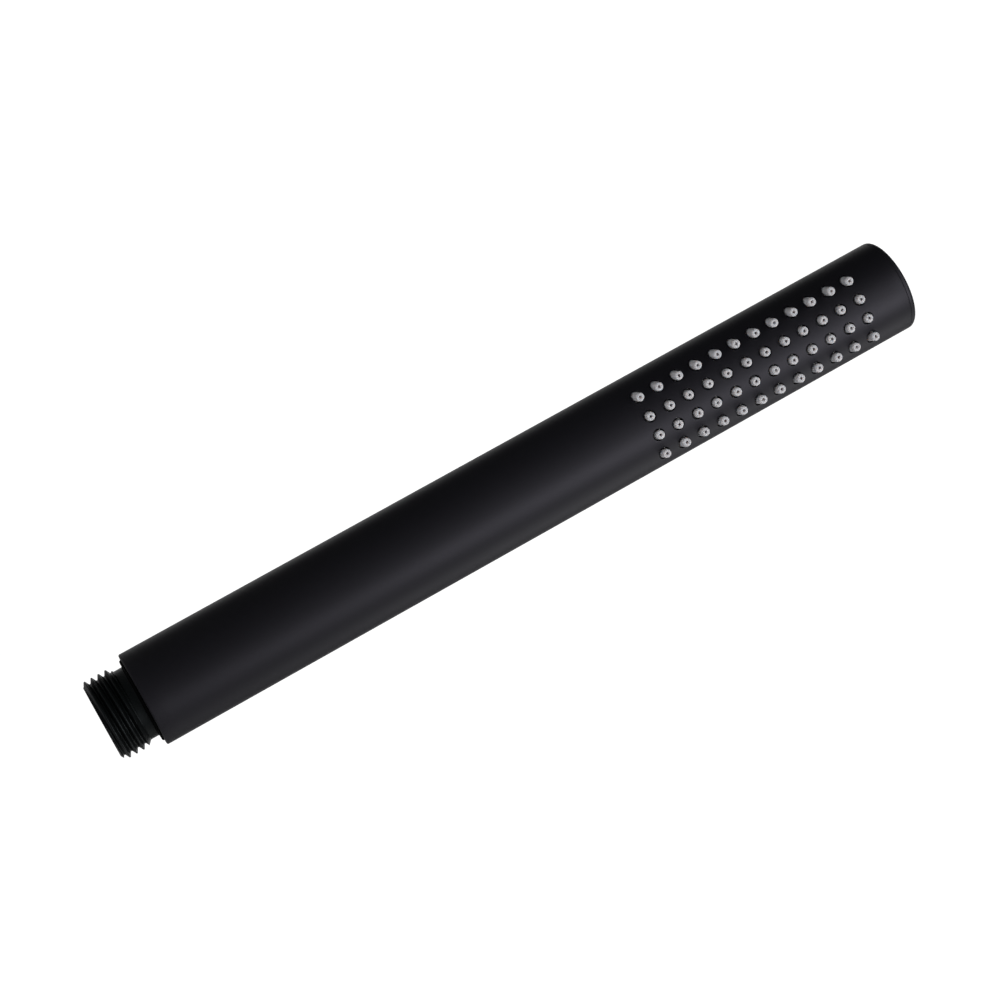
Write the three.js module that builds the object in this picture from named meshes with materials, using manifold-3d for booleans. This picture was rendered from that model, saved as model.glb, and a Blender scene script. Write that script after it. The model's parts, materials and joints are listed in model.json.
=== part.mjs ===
// Stick hand shower: a straight round metal tube with four rows of silicone nozzles near its
// closed end and a G 1/2 male hose connection at the other.
// Frame: +Z runs up the tube, the origin is the centre of the inlet face, the nozzles face -Y.
// Lengths are millimetres.

import * as THREE from 'three';
import { mergeVertices } from 'three/addons/utils/BufferGeometryUtils.js';
import Module from 'manifold-3d';

const wasm = await Module();
wasm.setup();

// Outer tube and end cap
const TUBE_RADIUS = 12;
const TUBE_WALL = 1.6;
const TUBE_LENGTH = 210.7;
const TUBE_EDGE_BEVEL = 0.3;
const CAP_FLANGE = 1.5;
const CAP_RIM_RADIUS = 0.9;
const CAP_SPIGOT_LENGTH = 3.85;
const CAP_STUB_RADIUS = 3.7;
const CAP_STUB_LENGTH = 3;

// Inlet: thread, neck and collar below the tube, plug inside it
const INLET_LENGTH = 10.65;
const THREAD_RADIUS = 10.375;
const THREAD_DEPTH = 1.1;
const THREAD_PITCH = 1.814;
const THREAD_LENGTH = 8;
const THREAD_PHASE = 0.076;
const THREAD_CREST_SHARE = 0.16;
const THREAD_ROOT_SHARE = 0.2;
const ENTRY_RADIUS = 9.05;
const ENTRY_CHAMFER = 0.8;
const NECK_RADIUS = 9.1;
const COLLAR_HEIGHT = 0.5;
const COLLAR_SEAT = 0.3;
const PLUG_LENGTH = 32;

// Bore of the inlet and the cartridges that sit in it, from the mouth inwards
const CARTRIDGE_BORE_RADIUS = 7.5;
const MOUTH_DEPTH = 5.4;
const SNAP_RING_HEIGHT = 1.2;
const SNAP_RING_WIDTH = 1.5;
const SNAP_RING_GAP_ANGLE = 0.7;
const SNAP_GROOVE_DEPTH = 0.6;
const STRAINER_HEIGHT = 2;
const STRAINER_LEDGE = 0.8;
const STRAINER_RIM = 0.5;
const STRAINER_SEAT = 1;
const SCREEN_THICKNESS = 0.4;
const SCREEN_CELLS = 5;
const SCREEN_CELL = 1.4;
const SCREEN_PITCH = 2;
const REGULATOR_HEIGHT = 3.6;
const REGULATOR_WALL = 1;
const REGULATOR_BASE = 1.4;
const REGULATOR_POST_RADIUS = 2.6;
const REGULATOR_PORTS = 8;
const REGULATOR_PORT_RADIUS = 0.8;
const REGULATOR_RING_SECTION = 1.8;

// Non-return valve
const VALVE_HEIGHT = 14;
const VALVE_WALL = 1.8;
const VALVE_SEAT_RADIUS = 3.6;
const VALVE_SEAT_HEIGHT = 1.6;
const VALVE_SEAL_HEIGHT = 0.6;
const VALVE_SEAL_LAP = 1.1;
const POPPET_NOSE_RADIUS = 2.6;
const POPPET_NOSE_DROP = 0.5;
const POPPET_DISC_HEIGHT = 1.2;
const POPPET_DISC_OVERHANG = 1.2;
const POPPET_STEM_RADIUS = 1.2;
const POPPET_STEM_PROUD = 0.6;
const GUIDE_HEIGHT = 1.4;
const GUIDE_RECESS = 0.6;
const GUIDE_HUB_RADIUS = 2.3;
const GUIDE_PORTS = 4;
const GUIDE_PORT_RADIUS = 1.1;
const SPRING_RADIUS = 2.2;
const SPRING_WIRE_RADIUS = 0.3;
const SPRING_TURNS = 4.5;

// Inner pipe from the inlet to the spray core
const PIPE_RADIUS = 5;
const PIPE_WALL = 1;
const PIPE_SOCKET_DEPTH = 9;
const SHOULDER_RADIUS = 4;
const SHOULDER_HEIGHT = 3.3;
const SPACER_HEIGHT = 4;
const SPACER_HUB_WALL = 1.2;
const SPACER_FINS = 4;
const SPACER_FIN_WIDTH = 1.6;

// Nozzle field and the spray core behind it
const NOZZLE_ROWS = 4;
const NOZZLE_COLUMNS = 12;
const ROW_PITCH = 5.12;
const COLUMN_PITCH = 5.55;
const FIELD_TO_END = 13.45;
const NOZZLE_BASE_RADIUS = 1.2;
const NOZZLE_TIP_RADIUS = 0.98;
const NOZZLE_CROWN = 1.1;
const NOZZLE_ARC_RADIUS = 17.6;
const NOZZLE_FAN_ANGLE = 0.0113;
const JET_RADIUS = 0.35;
const NOZZLE_HOLE_RADIUS = 1.45;
const MAT_THICKNESS = 1;
const MAT_DEPTH = 3.9;
const GUIDE_PLATE_INSET = 0.45;
const CHAMBER_MARGIN = 3;
const CHAMBER_RIM = 1.45;
const CHAMBER_RADIUS = 7.6;
const CHAMBER_SIDE = 8.3;
const CHAMBER_STEP = 2.1;

// Seals and fits
const CLEARANCE = 0.3;
const O_RING_SECTION = 1.8;
const SMALL_O_RING_SECTION = 1.3;
const VALVE_O_RING_SECTION = 0.9;

// Facets
const ROUND_SEGMENTS = 36;
const INNER_SEGMENTS = 24;
const RIM_STEPS = 2;
const SEAL_SEGMENTS = 24;
const SEAL_SIDES = 6;
const THREAD_SEGMENTS = 24;
const NOZZLE_SIDES = 8;
const GUIDE_HOLE_SIDES = 6;
const JET_SIDES = 6;
const SPRING_STEPS_PER_TURN = 10;

// Worked-out sizes
const BORE_RADIUS = TUBE_RADIUS - TUBE_WALL;
const FIT_RADIUS = BORE_RADIUS - CLEARANCE;
const COLLAR_RADIUS = BORE_RADIUS + COLLAR_SEAT;
const TUBE_START = INLET_LENGTH;
const TUBE_END = TUBE_START + TUBE_LENGTH;
const OVERALL_END = TUBE_END + CAP_FLANGE;
const PLUG_END = TUBE_START + PLUG_LENGTH;
const CARTRIDGE_RADIUS = CARTRIDGE_BORE_RADIUS - CLEARANCE;

const SNAP_RING_START = MOUTH_DEPTH + CLEARANCE;
const STRAINER_START = SNAP_RING_START + SNAP_RING_HEIGHT + CLEARANCE;
const REGULATOR_START = STRAINER_START + STRAINER_HEIGHT + CLEARANCE;
const VALVE_START = REGULATOR_START + REGULATOR_HEIGHT + CLEARANCE;
const VALVE_END = VALVE_START + VALVE_HEIGHT;
const SHOULDER_START = VALVE_END + CLEARANCE;
const SHOULDER_END = SHOULDER_START + SHOULDER_HEIGHT;

const VALVE_SEAT_TOP = VALVE_START + VALVE_SEAT_HEIGHT;
const VALVE_SEAL_START = VALVE_SEAT_TOP + CLEARANCE;
const POPPET_DISC_START = VALVE_SEAL_START + VALVE_SEAL_HEIGHT + CLEARANCE;
const POPPET_DISC_END = POPPET_DISC_START + POPPET_DISC_HEIGHT;
const GUIDE_END = VALVE_END - CLEARANCE;
const GUIDE_START = GUIDE_END - GUIDE_HEIGHT;

const FIRST_COLUMN = OVERALL_END - FIELD_TO_END - (NOZZLE_COLUMNS - 1) * COLUMN_PITCH;
const LAST_COLUMN = OVERALL_END - FIELD_TO_END;
const CHAMBER_START = FIRST_COLUMN - CHAMBER_MARGIN;
const CHAMBER_END = LAST_COLUMN + CHAMBER_MARGIN;
const MAT_START = CHAMBER_START - CHAMBER_RIM;
const MAT_END = CHAMBER_END + CHAMBER_RIM;
const CORE_START = CHAMBER_START - 2 * CHAMBER_RIM - PIPE_SOCKET_DEPTH;
const CAP_SPIGOT_START = TUBE_END - CAP_SPIGOT_LENGTH;
const CORE_END = CAP_SPIGOT_START - CLEARANCE;
const PIPE_START = SHOULDER_END + CLEARANCE;
const PIPE_END = CORE_START + PIPE_SOCKET_DEPTH - CLEARANCE;
const SOCKET_RADIUS = PIPE_RADIUS + CLEARANCE;

const BLACK_METAL = { color: 0x131417, roughness: 0.42, metalness: 0.35 };
const SILICONE = { color: 0xb9babd, roughness: 0.6, metalness: 0 };
const WHITE_PLASTIC = { color: 0xd9d9d4, roughness: 0.55, metalness: 0 };
const GREY_PLASTIC = { color: 0x8d9092, roughness: 0.5, metalness: 0 };
const BLUE_PLASTIC = { color: 0x3c6f9c, roughness: 0.5, metalness: 0 };
const RUBBER = { color: 0x1a1a1a, roughness: 0.8, metalness: 0 };
const STEEL = { color: 0xb4b6b8, roughness: 0.3, metalness: 1 };

// Six times the signed volume of a triangle list, which is negative when it is inside out.
function signedVolume(points, faces) {
  const [a, b, c] = [new THREE.Vector3(), new THREE.Vector3(), new THREE.Vector3()];
  let total = 0;
  for (let i = 0; i < faces.length; i += 3) {
    a.fromArray(points, 3 * faces[i]);
    b.fromArray(points, 3 * faces[i + 1]);
    c.fromArray(points, 3 * faces[i + 2]);
    total += a.dot(b.cross(c));
  }
  return total;
}

// Solid bounded by a closed geometry, with its faces turned outwards.
function toSolid(geometry) {
  const bare = geometry.clone();
  bare.deleteAttribute('normal');
  bare.deleteAttribute('uv');
  const merged = mergeVertices(bare, 1e-5);
  const points = merged.attributes.position.array;
  const corners = merged.index.array;
  const faces = [];
  for (let i = 0; i < corners.length; i += 3) {
    const [a, b, c] = corners.slice(i, i + 3);
    if (a !== b && b !== c && c !== a) faces.push(a, b, c);
  }
  if (signedVolume(points, faces) < 0) faces.reverse();
  const mesh = { numProp: 3, vertProperties: points, triVerts: new Uint32Array(faces) };
  return new wasm.Manifold(new wasm.Mesh(mesh));
}

// Named mesh of a solid.
function toMesh(name, body, finish) {
  const { vertProperties, triVerts } = body.getMesh();
  const geometry = new THREE.BufferGeometry();
  geometry.setAttribute('position', new THREE.BufferAttribute(vertProperties, 3));
  geometry.setIndex(new THREE.BufferAttribute(triVerts, 1));
  geometry.computeVertexNormals();
  const mesh = new THREE.Mesh(geometry, new THREE.MeshStandardMaterial(finish));
  mesh.name = name;
  return mesh;
}

// Round solid about the Z axis from a closed outline of [radius, height] points.
function turned(outline, segments = INNER_SEGMENTS) {
  const points = [...outline, outline[0]].map(([radius, height]) => new THREE.Vector2(radius, height));
  return toSolid(new THREE.LatheGeometry(points, segments).rotateX(Math.PI / 2));
}

// Plain round bar or ring about the Z axis.
function ring(inner, outer, bottom, top, segments = INNER_SEGMENTS) {
  return turned([[inner, bottom], [outer, bottom], [outer, top], [inner, top]], segments);
}

// Rectangular block between two corners.
function block([x0, y0, z0], [x1, y1, z1]) {
  const box = new THREE.BoxGeometry(x1 - x0, y1 - y0, z1 - z0);
  return toSolid(box.translate((x0 + x1) / 2, (y0 + y1) / 2, (z0 + z1) / 2));
}

// Flat shape carried up Z from one height to another.
function extruded(shape, bottom, top) {
  const options = { depth: top - bottom, bevelEnabled: false, curveSegments: INNER_SEGMENTS / 2 };
  return toSolid(new THREE.ExtrudeGeometry(shape, options).translate(0, 0, bottom));
}

// Upright round post with its centre off the axis.
function post(x, y, radius, bottom, top, sides) {
  const bar = new THREE.CylinderGeometry(radius, radius, top - bottom, sides);
  return toSolid(bar.rotateX(Math.PI / 2).translate(x, y, (bottom + top) / 2));
}

// Copies of a post spread evenly round the axis.
function postCircle(count, circleRadius, radius, bottom, top) {
  const posts = [];
  for (let i = 0; i < count; i += 1) {
    const angle = (2 * Math.PI * i) / count;
    posts.push(post(circleRadius * Math.cos(angle), circleRadius * Math.sin(angle),
      radius, bottom, top, NOZZLE_SIDES));
  }
  return wasm.Manifold.union(posts);
}

// Height of the middle of each O-ring
const CAP_SEAL_MIDDLE = CAP_SPIGOT_START + CAP_SPIGOT_LENGTH / 2;
const PLUG_SEAL_MIDDLE = SHOULDER_END + O_RING_SECTION;
const LOWER_PIPE_SEAL_MIDDLE = PLUG_END - PIPE_SOCKET_DEPTH / 2;
const UPPER_PIPE_SEAL_MIDDLE = CORE_START + O_RING_SECTION;
const CORE_SEAL_MIDDLE = CORE_START + PIPE_SOCKET_DEPTH - 1.5 * O_RING_SECTION;
const VALVE_BODY_SEAL_MIDDLE = VALVE_START + VALVE_HEIGHT / 2;

// The O-ring joints: the wall each ring seals against, its section's diameter, its height, and
// whether it lies outside that wall.
const CAP_JOINT = { wall: BORE_RADIUS, section: O_RING_SECTION, middle: CAP_SEAL_MIDDLE, outside: false };
const CORE_JOINT = { ...CAP_JOINT, middle: CORE_SEAL_MIDDLE };
const PLUG_JOINT = { ...CAP_JOINT, middle: PLUG_SEAL_MIDDLE };
const LOWER_PIPE_JOINT = {
  wall: PIPE_RADIUS, section: SMALL_O_RING_SECTION, middle: LOWER_PIPE_SEAL_MIDDLE, outside: true,
};
const UPPER_PIPE_JOINT = { ...LOWER_PIPE_JOINT, middle: UPPER_PIPE_SEAL_MIDDLE };
const VALVE_JOINT = {
  ...CAP_JOINT, wall: CARTRIDGE_BORE_RADIUS, section: VALVE_O_RING_SECTION, middle: VALVE_BODY_SEAL_MIDDLE,
};

// Round seal whose section has the given diameter and whose inner edge lies on a radius.
function roundSeal(inner, section, middle) {
  const half = section / 2;
  const outline = [];
  for (let i = 0; i < SEAL_SIDES; i += 1) {
    const angle = (2 * Math.PI * i) / SEAL_SIDES;
    outline.push([inner + half + half * Math.cos(angle), middle + half * Math.sin(angle)]);
  }
  return turned(outline, SEAL_SEGMENTS);
}

// O-ring of a joint, a clearance away from the wall.
function oRing({ wall, section, middle, outside }) {
  return roundSeal(outside ? wall + CLEARANCE : wall - CLEARANCE - section, section, middle);
}

// Groove for the O-ring of a joint, open towards the wall.
function sealGroove({ wall, section, middle, outside }) {
  const half = section / 2 + CLEARANCE;
  const depth = section + 2 * CLEARANCE;
  const floor = outside ? wall + depth : wall - depth;
  return ring(Math.min(floor, wall), Math.max(floor, wall), middle - half, middle + half);
}

// Places of the nozzles: x across the rows, z along the tube, and which way each one fans.
function nozzlePlaces() {
  const places = [];
  for (let row = 0; row < NOZZLE_ROWS; row += 1) {
    for (let column = 0; column < NOZZLE_COLUMNS; column += 1) {
      places.push({
        x: (row - (NOZZLE_ROWS - 1) / 2) * ROW_PITCH,
        z: FIRST_COLUMN + column * COLUMN_PITCH,
        fan: (row + column) % 2 === 0 ? 1 : -1,
      });
    }
  }
  return places;
}

// How far from the tube's middle plane the tip of a nozzle lies: the tips follow a flat arc.
function tipHeight(x) {
  const arcMiddle = TUBE_RADIUS + NOZZLE_CROWN - NOZZLE_ARC_RADIUS;
  return arcMiddle + Math.sqrt(NOZZLE_ARC_RADIUS ** 2 - x ** 2);
}

// Bars along -Y at every nozzle place, for holes and jets.
function nozzleBars(radius, from, to, sides) {
  const bars = nozzlePlaces().map(({ x, z }) => {
    const bar = new THREE.CylinderGeometry(radius, radius, to - from, sides);
    return toSolid(bar.translate(x, -(from + to) / 2, z));
  });
  return wasm.Manifold.union(bars);
}

// Half width of a chord of the fit cylinder at a depth from the middle plane.
function chordAt(depth) {
  return Math.sqrt(FIT_RADIUS ** 2 - depth ** 2);
}

// ---- Outside ----

function outerTube() {
  const shell = turned([
    [BORE_RADIUS, TUBE_START],
    [TUBE_RADIUS - TUBE_EDGE_BEVEL, TUBE_START],
    [TUBE_RADIUS, TUBE_START + TUBE_EDGE_BEVEL],
    [TUBE_RADIUS, TUBE_END],
    [BORE_RADIUS, TUBE_END],
  ], ROUND_SEGMENTS);
  const holes = nozzleBars(NOZZLE_HOLE_RADIUS, MAT_DEPTH, TUBE_RADIUS + 1, NOZZLE_SIDES);
  return shell.subtract(holes);
}

function endCap() {
  const outline = [[0, CAP_SPIGOT_START - CAP_STUB_LENGTH],
    [CAP_STUB_RADIUS, CAP_SPIGOT_START - CAP_STUB_LENGTH],
    [CAP_STUB_RADIUS, CAP_SPIGOT_START],
    [FIT_RADIUS, CAP_SPIGOT_START],
    [FIT_RADIUS, TUBE_END],
    [TUBE_RADIUS, TUBE_END]];
  for (let i = 0; i <= RIM_STEPS; i += 1) {
    const angle = (Math.PI / 2) * (i / RIM_STEPS);
    outline.push([TUBE_RADIUS - CAP_RIM_RADIUS * (1 - Math.cos(angle)),
      OVERALL_END - CAP_RIM_RADIUS * (1 - Math.sin(angle))]);
  }
  outline.push([0, OVERALL_END]);
  return turned(outline, ROUND_SEGMENTS).subtract(sealGroove(CAP_JOINT));
}

// ---- Inlet connector ----

// Threaded rod longer than the thread: rows of points follow the helix, and each end is closed by
// a fan of faces to a point on the axis.
function helicalRod() {
  const root = THREAD_RADIUS - THREAD_DEPTH;
  const rows = [[-THREAD_CREST_SHARE / 2, THREAD_RADIUS], [THREAD_CREST_SHARE / 2, THREAD_RADIUS],
    [0.5 - THREAD_ROOT_SHARE / 2, root], [0.5 + THREAD_ROOT_SHARE / 2, root]];
  const turns = Math.ceil(THREAD_LENGTH / THREAD_PITCH) + 3;
  const points = [];
  for (let i = 0; i <= turns * rows.length; i += 1) {
    const [share, radius] = rows[i % rows.length];
    const level = Math.floor(i / rows.length) - 2 + share;
    for (let j = 0; j < THREAD_SEGMENTS; j += 1) {
      const angle = (2 * Math.PI * j) / THREAD_SEGMENTS;
      const height = THREAD_PHASE + THREAD_PITCH * (level + j / THREAD_SEGMENTS);
      points.push(radius * Math.cos(angle), radius * Math.sin(angle), height);
    }
  }
  const perTurn = rows.length;
  const at = (i, j) => (i + Math.floor(j / THREAD_SEGMENTS) * perTurn) * THREAD_SEGMENTS
    + (j % THREAD_SEGMENTS);
  const last = (turns - 1) * perTurn;
  const faces = [];
  for (let i = 0; i < last; i += 1) {
    for (let j = 0; j < THREAD_SEGMENTS; j += 1) {
      faces.push(at(i, j), at(i, j + 1), at(i + 1, j + 1), at(i, j), at(i + 1, j + 1), at(i + 1, j));
    }
  }
  const bottom = points.length / 3;
  points.push(0, 0, -3 * THREAD_PITCH, 0, 0, (turns + 1) * THREAD_PITCH);
  for (let j = 0; j < THREAD_SEGMENTS; j += 1) {
    faces.push(bottom, at(0, j + 1), at(0, j), bottom + 1, at(last, j), at(last, j + 1));
  }
  for (let i = 0; i < perTurn; i += 1) {
    faces.push(bottom, at(i, 0), at(i + 1, 0), bottom + 1, at(last + i + 1, 0), at(last + i, 0));
  }
  const geometry = new THREE.BufferGeometry();
  geometry.setAttribute('position', new THREE.Float32BufferAttribute(points, 3));
  geometry.setIndex(faces);
  return toSolid(geometry);
}

// Space that the thread may fill: chamfered at the mouth and at 45 degrees where it runs out.
function threadEnvelope() {
  const outer = THREAD_RADIUS + 1;
  const slope = ENTRY_CHAMFER / (THREAD_RADIUS - ENTRY_RADIUS);
  return turned([
    [0, 0],
    [ENTRY_RADIUS, 0],
    [outer, slope * (outer - ENTRY_RADIUS)],
    [outer, THREAD_LENGTH - (outer - NECK_RADIUS)],
    [NECK_RADIUS, THREAD_LENGTH],
    [0, THREAD_LENGTH],
  ], THREAD_SEGMENTS);
}

function inletConnector() {
  const shank = turned([
    [0, 0],
    [ENTRY_RADIUS, 0],
    [ENTRY_RADIUS, THREAD_LENGTH],
    [NECK_RADIUS, THREAD_LENGTH],
    [NECK_RADIUS, TUBE_START - COLLAR_HEIGHT],
    [COLLAR_RADIUS, TUBE_START - COLLAR_HEIGHT],
    [COLLAR_RADIUS, TUBE_START],
    [FIT_RADIUS, TUBE_START],
    [FIT_RADIUS, PLUG_END],
    [0, PLUG_END],
  ]);
  const thread = helicalRod().intersect(threadEnvelope());
  const grooveOuter = CARTRIDGE_BORE_RADIUS + SNAP_GROOVE_DEPTH;
  const grooveEnd = SNAP_RING_START + SNAP_RING_HEIGHT + CLEARANCE;
  const bores = turned([
    [0, -1],
    [CARTRIDGE_BORE_RADIUS, -1],
    [CARTRIDGE_BORE_RADIUS, MOUTH_DEPTH],
    [grooveOuter, MOUTH_DEPTH],
    [grooveOuter, grooveEnd],
    [CARTRIDGE_BORE_RADIUS, grooveEnd],
    [CARTRIDGE_BORE_RADIUS, SHOULDER_START],
    [SHOULDER_RADIUS, SHOULDER_START],
    [SHOULDER_RADIUS, SHOULDER_END],
    [SOCKET_RADIUS, SHOULDER_END],
    [SOCKET_RADIUS, PLUG_END + 1],
    [0, PLUG_END + 1],
  ]);
  return shank.add(thread).subtract(wasm.Manifold.union([bores, sealGroove(PLUG_JOINT),
    sealGroove(LOWER_PIPE_JOINT)]));
}

// Open spring ring that keeps the cartridges in.
function cartridgeRing() {
  const outer = CARTRIDGE_BORE_RADIUS + SNAP_GROOVE_DEPTH - CLEARANCE;
  const inner = outer - SNAP_RING_WIDTH;
  const start = -Math.PI / 2 + SNAP_RING_GAP_ANGLE / 2;
  const end = start + 2 * Math.PI - SNAP_RING_GAP_ANGLE;
  const shape = new THREE.Shape();
  shape.absarc(0, 0, outer, start, end, false);
  shape.absarc(0, 0, inner, end, start, true);
  return extruded(shape, SNAP_RING_START, SNAP_RING_START + SNAP_RING_HEIGHT);
}

// ---- Strainer and flow regulator ----

const SCREEN_START = STRAINER_START + STRAINER_LEDGE + CLEARANCE;
const SCREEN_RADIUS = CARTRIDGE_RADIUS - STRAINER_RIM - CLEARANCE;

function strainerFrame() {
  const top = STRAINER_START + STRAINER_HEIGHT;
  const ledgeTop = STRAINER_START + STRAINER_LEDGE;
  const screenWall = CARTRIDGE_RADIUS - STRAINER_RIM;
  return turned([
    [screenWall - STRAINER_SEAT, STRAINER_START],
    [CARTRIDGE_RADIUS, STRAINER_START],
    [CARTRIDGE_RADIUS, top],
    [screenWall, top],
    [screenWall, ledgeTop],
    [screenWall - STRAINER_SEAT, ledgeTop],
  ]);
}

function strainerScreen() {
  const [bottom, top] = [SCREEN_START, SCREEN_START + SCREEN_THICKNESS];
  const middle = (SCREEN_CELLS - 1) / 2;
  const half = SCREEN_CELL / 2;
  const cells = [];
  for (let i = 0; i < SCREEN_CELLS; i += 1) {
    for (let j = 0; j < SCREEN_CELLS; j += 1) {
      const [x, y] = [(i - middle) * SCREEN_PITCH, (j - middle) * SCREEN_PITCH];
      if (Math.hypot(x, y) + SCREEN_CELL > SCREEN_RADIUS) continue;
      cells.push(block([x - half, y - half, bottom - 1], [x + half, y + half, top + 1]));
    }
  }
  return ring(0, SCREEN_RADIUS, bottom, top, SEAL_SEGMENTS).subtract(wasm.Manifold.union(cells));
}

const REGULATOR_BASE_START = REGULATOR_START + REGULATOR_HEIGHT - REGULATOR_BASE;

function regulatorBody() {
  const top = REGULATOR_START + REGULATOR_HEIGHT;
  const wall = CARTRIDGE_RADIUS - REGULATOR_WALL;
  const cup = turned([
    [0, REGULATOR_START + CLEARANCE],
    [REGULATOR_POST_RADIUS, REGULATOR_START + CLEARANCE],
    [REGULATOR_POST_RADIUS, REGULATOR_BASE_START],
    [wall, REGULATOR_BASE_START],
    [wall, REGULATOR_START],
    [CARTRIDGE_RADIUS, REGULATOR_START],
    [CARTRIDGE_RADIUS, top],
    [0, top],
  ]);
  const portCircle = (REGULATOR_POST_RADIUS + wall) / 2;
  const ports = postCircle(REGULATOR_PORTS, portCircle, REGULATOR_PORT_RADIUS,
    REGULATOR_BASE_START - 1, top + 1);
  return cup.subtract(ports);
}

function regulatorRing() {
  const middle = REGULATOR_BASE_START - CLEARANCE - REGULATOR_RING_SECTION / 2;
  return roundSeal(REGULATOR_POST_RADIUS + CLEARANCE, REGULATOR_RING_SECTION, middle);
}

// ---- Non-return valve ----

const VALVE_INNER_RADIUS = CARTRIDGE_RADIUS - VALVE_WALL;
const GUIDE_RADIUS = VALVE_INNER_RADIUS + GUIDE_RECESS - CLEARANCE;
const POPPET_RADIUS = VALVE_SEAT_RADIUS + POPPET_DISC_OVERHANG;

function valveBody() {
  const guideFloor = GUIDE_START - CLEARANCE;
  const guideWall = VALVE_INNER_RADIUS + GUIDE_RECESS;
  const shell = turned([
    [VALVE_SEAT_RADIUS, VALVE_START],
    [CARTRIDGE_RADIUS, VALVE_START],
    [CARTRIDGE_RADIUS, VALVE_END],
    [guideWall, VALVE_END],
    [guideWall, guideFloor],
    [VALVE_INNER_RADIUS, guideFloor],
    [VALVE_INNER_RADIUS, VALVE_SEAT_TOP],
    [VALVE_SEAT_RADIUS, VALVE_SEAT_TOP],
  ]);
  return shell.subtract(sealGroove(VALVE_JOINT));
}

function valvePoppet() {
  return turned([
    [0, VALVE_START + POPPET_NOSE_DROP],
    [POPPET_NOSE_RADIUS - POPPET_NOSE_DROP, VALVE_START + POPPET_NOSE_DROP],
    [POPPET_NOSE_RADIUS, VALVE_START + 2 * POPPET_NOSE_DROP],
    [POPPET_NOSE_RADIUS, POPPET_DISC_START],
    [POPPET_RADIUS, POPPET_DISC_START],
    [POPPET_RADIUS, POPPET_DISC_END],
    [POPPET_STEM_RADIUS, POPPET_DISC_END],
    [POPPET_STEM_RADIUS, GUIDE_END + POPPET_STEM_PROUD],
    [0, GUIDE_END + POPPET_STEM_PROUD],
  ], SEAL_SEGMENTS);
}

function valveSeal() {
  return ring(POPPET_NOSE_RADIUS + CLEARANCE, VALVE_SEAT_RADIUS + VALVE_SEAL_LAP,
    VALVE_SEAL_START, VALVE_SEAL_START + VALVE_SEAL_HEIGHT, SEAL_SEGMENTS);
}

function valveGuide() {
  const disc = ring(POPPET_STEM_RADIUS + CLEARANCE, GUIDE_RADIUS, GUIDE_START, GUIDE_END);
  const portCircle = (GUIDE_HUB_RADIUS + GUIDE_RADIUS) / 2;
  const ports = postCircle(GUIDE_PORTS, portCircle, GUIDE_PORT_RADIUS, GUIDE_START - 1, GUIDE_END + 1);
  return disc.subtract(ports);
}

// Coil spring whose wire stays clear of the poppet's disc below and the guide above.
function valveSpring() {
  const bottom = POPPET_DISC_END + CLEARANCE + SPRING_WIRE_RADIUS;
  const top = GUIDE_START - CLEARANCE - SPRING_WIRE_RADIUS;
  class Coil extends THREE.Curve {
    getPoint(t, target = new THREE.Vector3()) {
      const angle = 2 * Math.PI * SPRING_TURNS * t;
      return target.set(SPRING_RADIUS * Math.cos(angle), SPRING_RADIUS * Math.sin(angle),
        bottom + (top - bottom) * t);
    }
  }
  const section = new THREE.Shape();
  section.absarc(0, 0, SPRING_WIRE_RADIUS, 0, 2 * Math.PI, false);
  const wire = new THREE.ExtrudeGeometry(section, {
    steps: SPRING_TURNS * SPRING_STEPS_PER_TURN,
    curveSegments: SEAL_SIDES / 2,
    bevelEnabled: false,
    extrudePath: new Coil(),
  });
  return toSolid(wire);
}

// ---- Inner pipe ----

function waterPipe() {
  return ring(PIPE_RADIUS - PIPE_WALL, PIPE_RADIUS, PIPE_START, PIPE_END);
}

// Star-shaped ring that keeps the pipe in the middle of the tube.
function pipeSpacer(middle) {
  const [bottom, top] = [middle - SPACER_HEIGHT / 2, middle + SPACER_HEIGHT / 2];
  const hub = ring(SOCKET_RADIUS, SOCKET_RADIUS + SPACER_HUB_WALL, bottom, top);
  const fins = [];
  for (let i = 0; i < SPACER_FINS; i += 1) {
    const half = SPACER_FIN_WIDTH / 2;
    const fin = block([SOCKET_RADIUS + CLEARANCE, -half, bottom], [FIT_RADIUS + 1, half, top]);
    fins.push(fin.rotate([0, 0, (360 * (i + 0.5)) / SPACER_FINS]));
  }
  const reach = ring(0, FIT_RADIUS, bottom, top, ROUND_SEGMENTS);
  return hub.add(wasm.Manifold.union(fins).intersect(reach));
}

// Height of a spacer at a share of the way from the inlet plug to the spray core.
function spacerMiddle(share) {
  return PLUG_END + share * (CORE_START - PLUG_END);
}

// ---- Spray core, nozzle mat and nozzle guide ----

// Round core with a flat face cut in its front. The trough behind that face feeds the nozzles.
function sprayCore() {
  const flatDepth = MAT_DEPTH - CLEARANCE;
  const far = FIT_RADIUS + 1;
  const body = ring(0, FIT_RADIUS, CORE_START, CORE_END, ROUND_SEGMENTS);
  const front = block([-far, -far, MAT_START - CLEARANCE], [far, -flatDepth, MAT_END + CLEARANCE]);
  const trough = block([-CHAMBER_SIDE, -far, CHAMBER_START],
    [CHAMBER_SIDE, CHAMBER_STEP - flatDepth, CHAMBER_END]);
  const chamber = ring(0, CHAMBER_RADIUS, CHAMBER_START, CHAMBER_END);
  const socket = ring(0, SOCKET_RADIUS, CORE_START - 1, CORE_START + PIPE_SOCKET_DEPTH);
  const passage = ring(0, SHOULDER_RADIUS, CORE_START, CHAMBER_START + 1);
  const capSocketStart = CAP_SPIGOT_START - CAP_STUB_LENGTH - CLEARANCE;
  const capSocket = ring(0, CAP_STUB_RADIUS + CLEARANCE, capSocketStart, CORE_END + 1);
  return body.subtract(wasm.Manifold.union([front, trough, chamber, socket, passage, capSocket,
    sealGroove(CORE_JOINT), sealGroove(UPPER_PIPE_JOINT)]));
}

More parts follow.
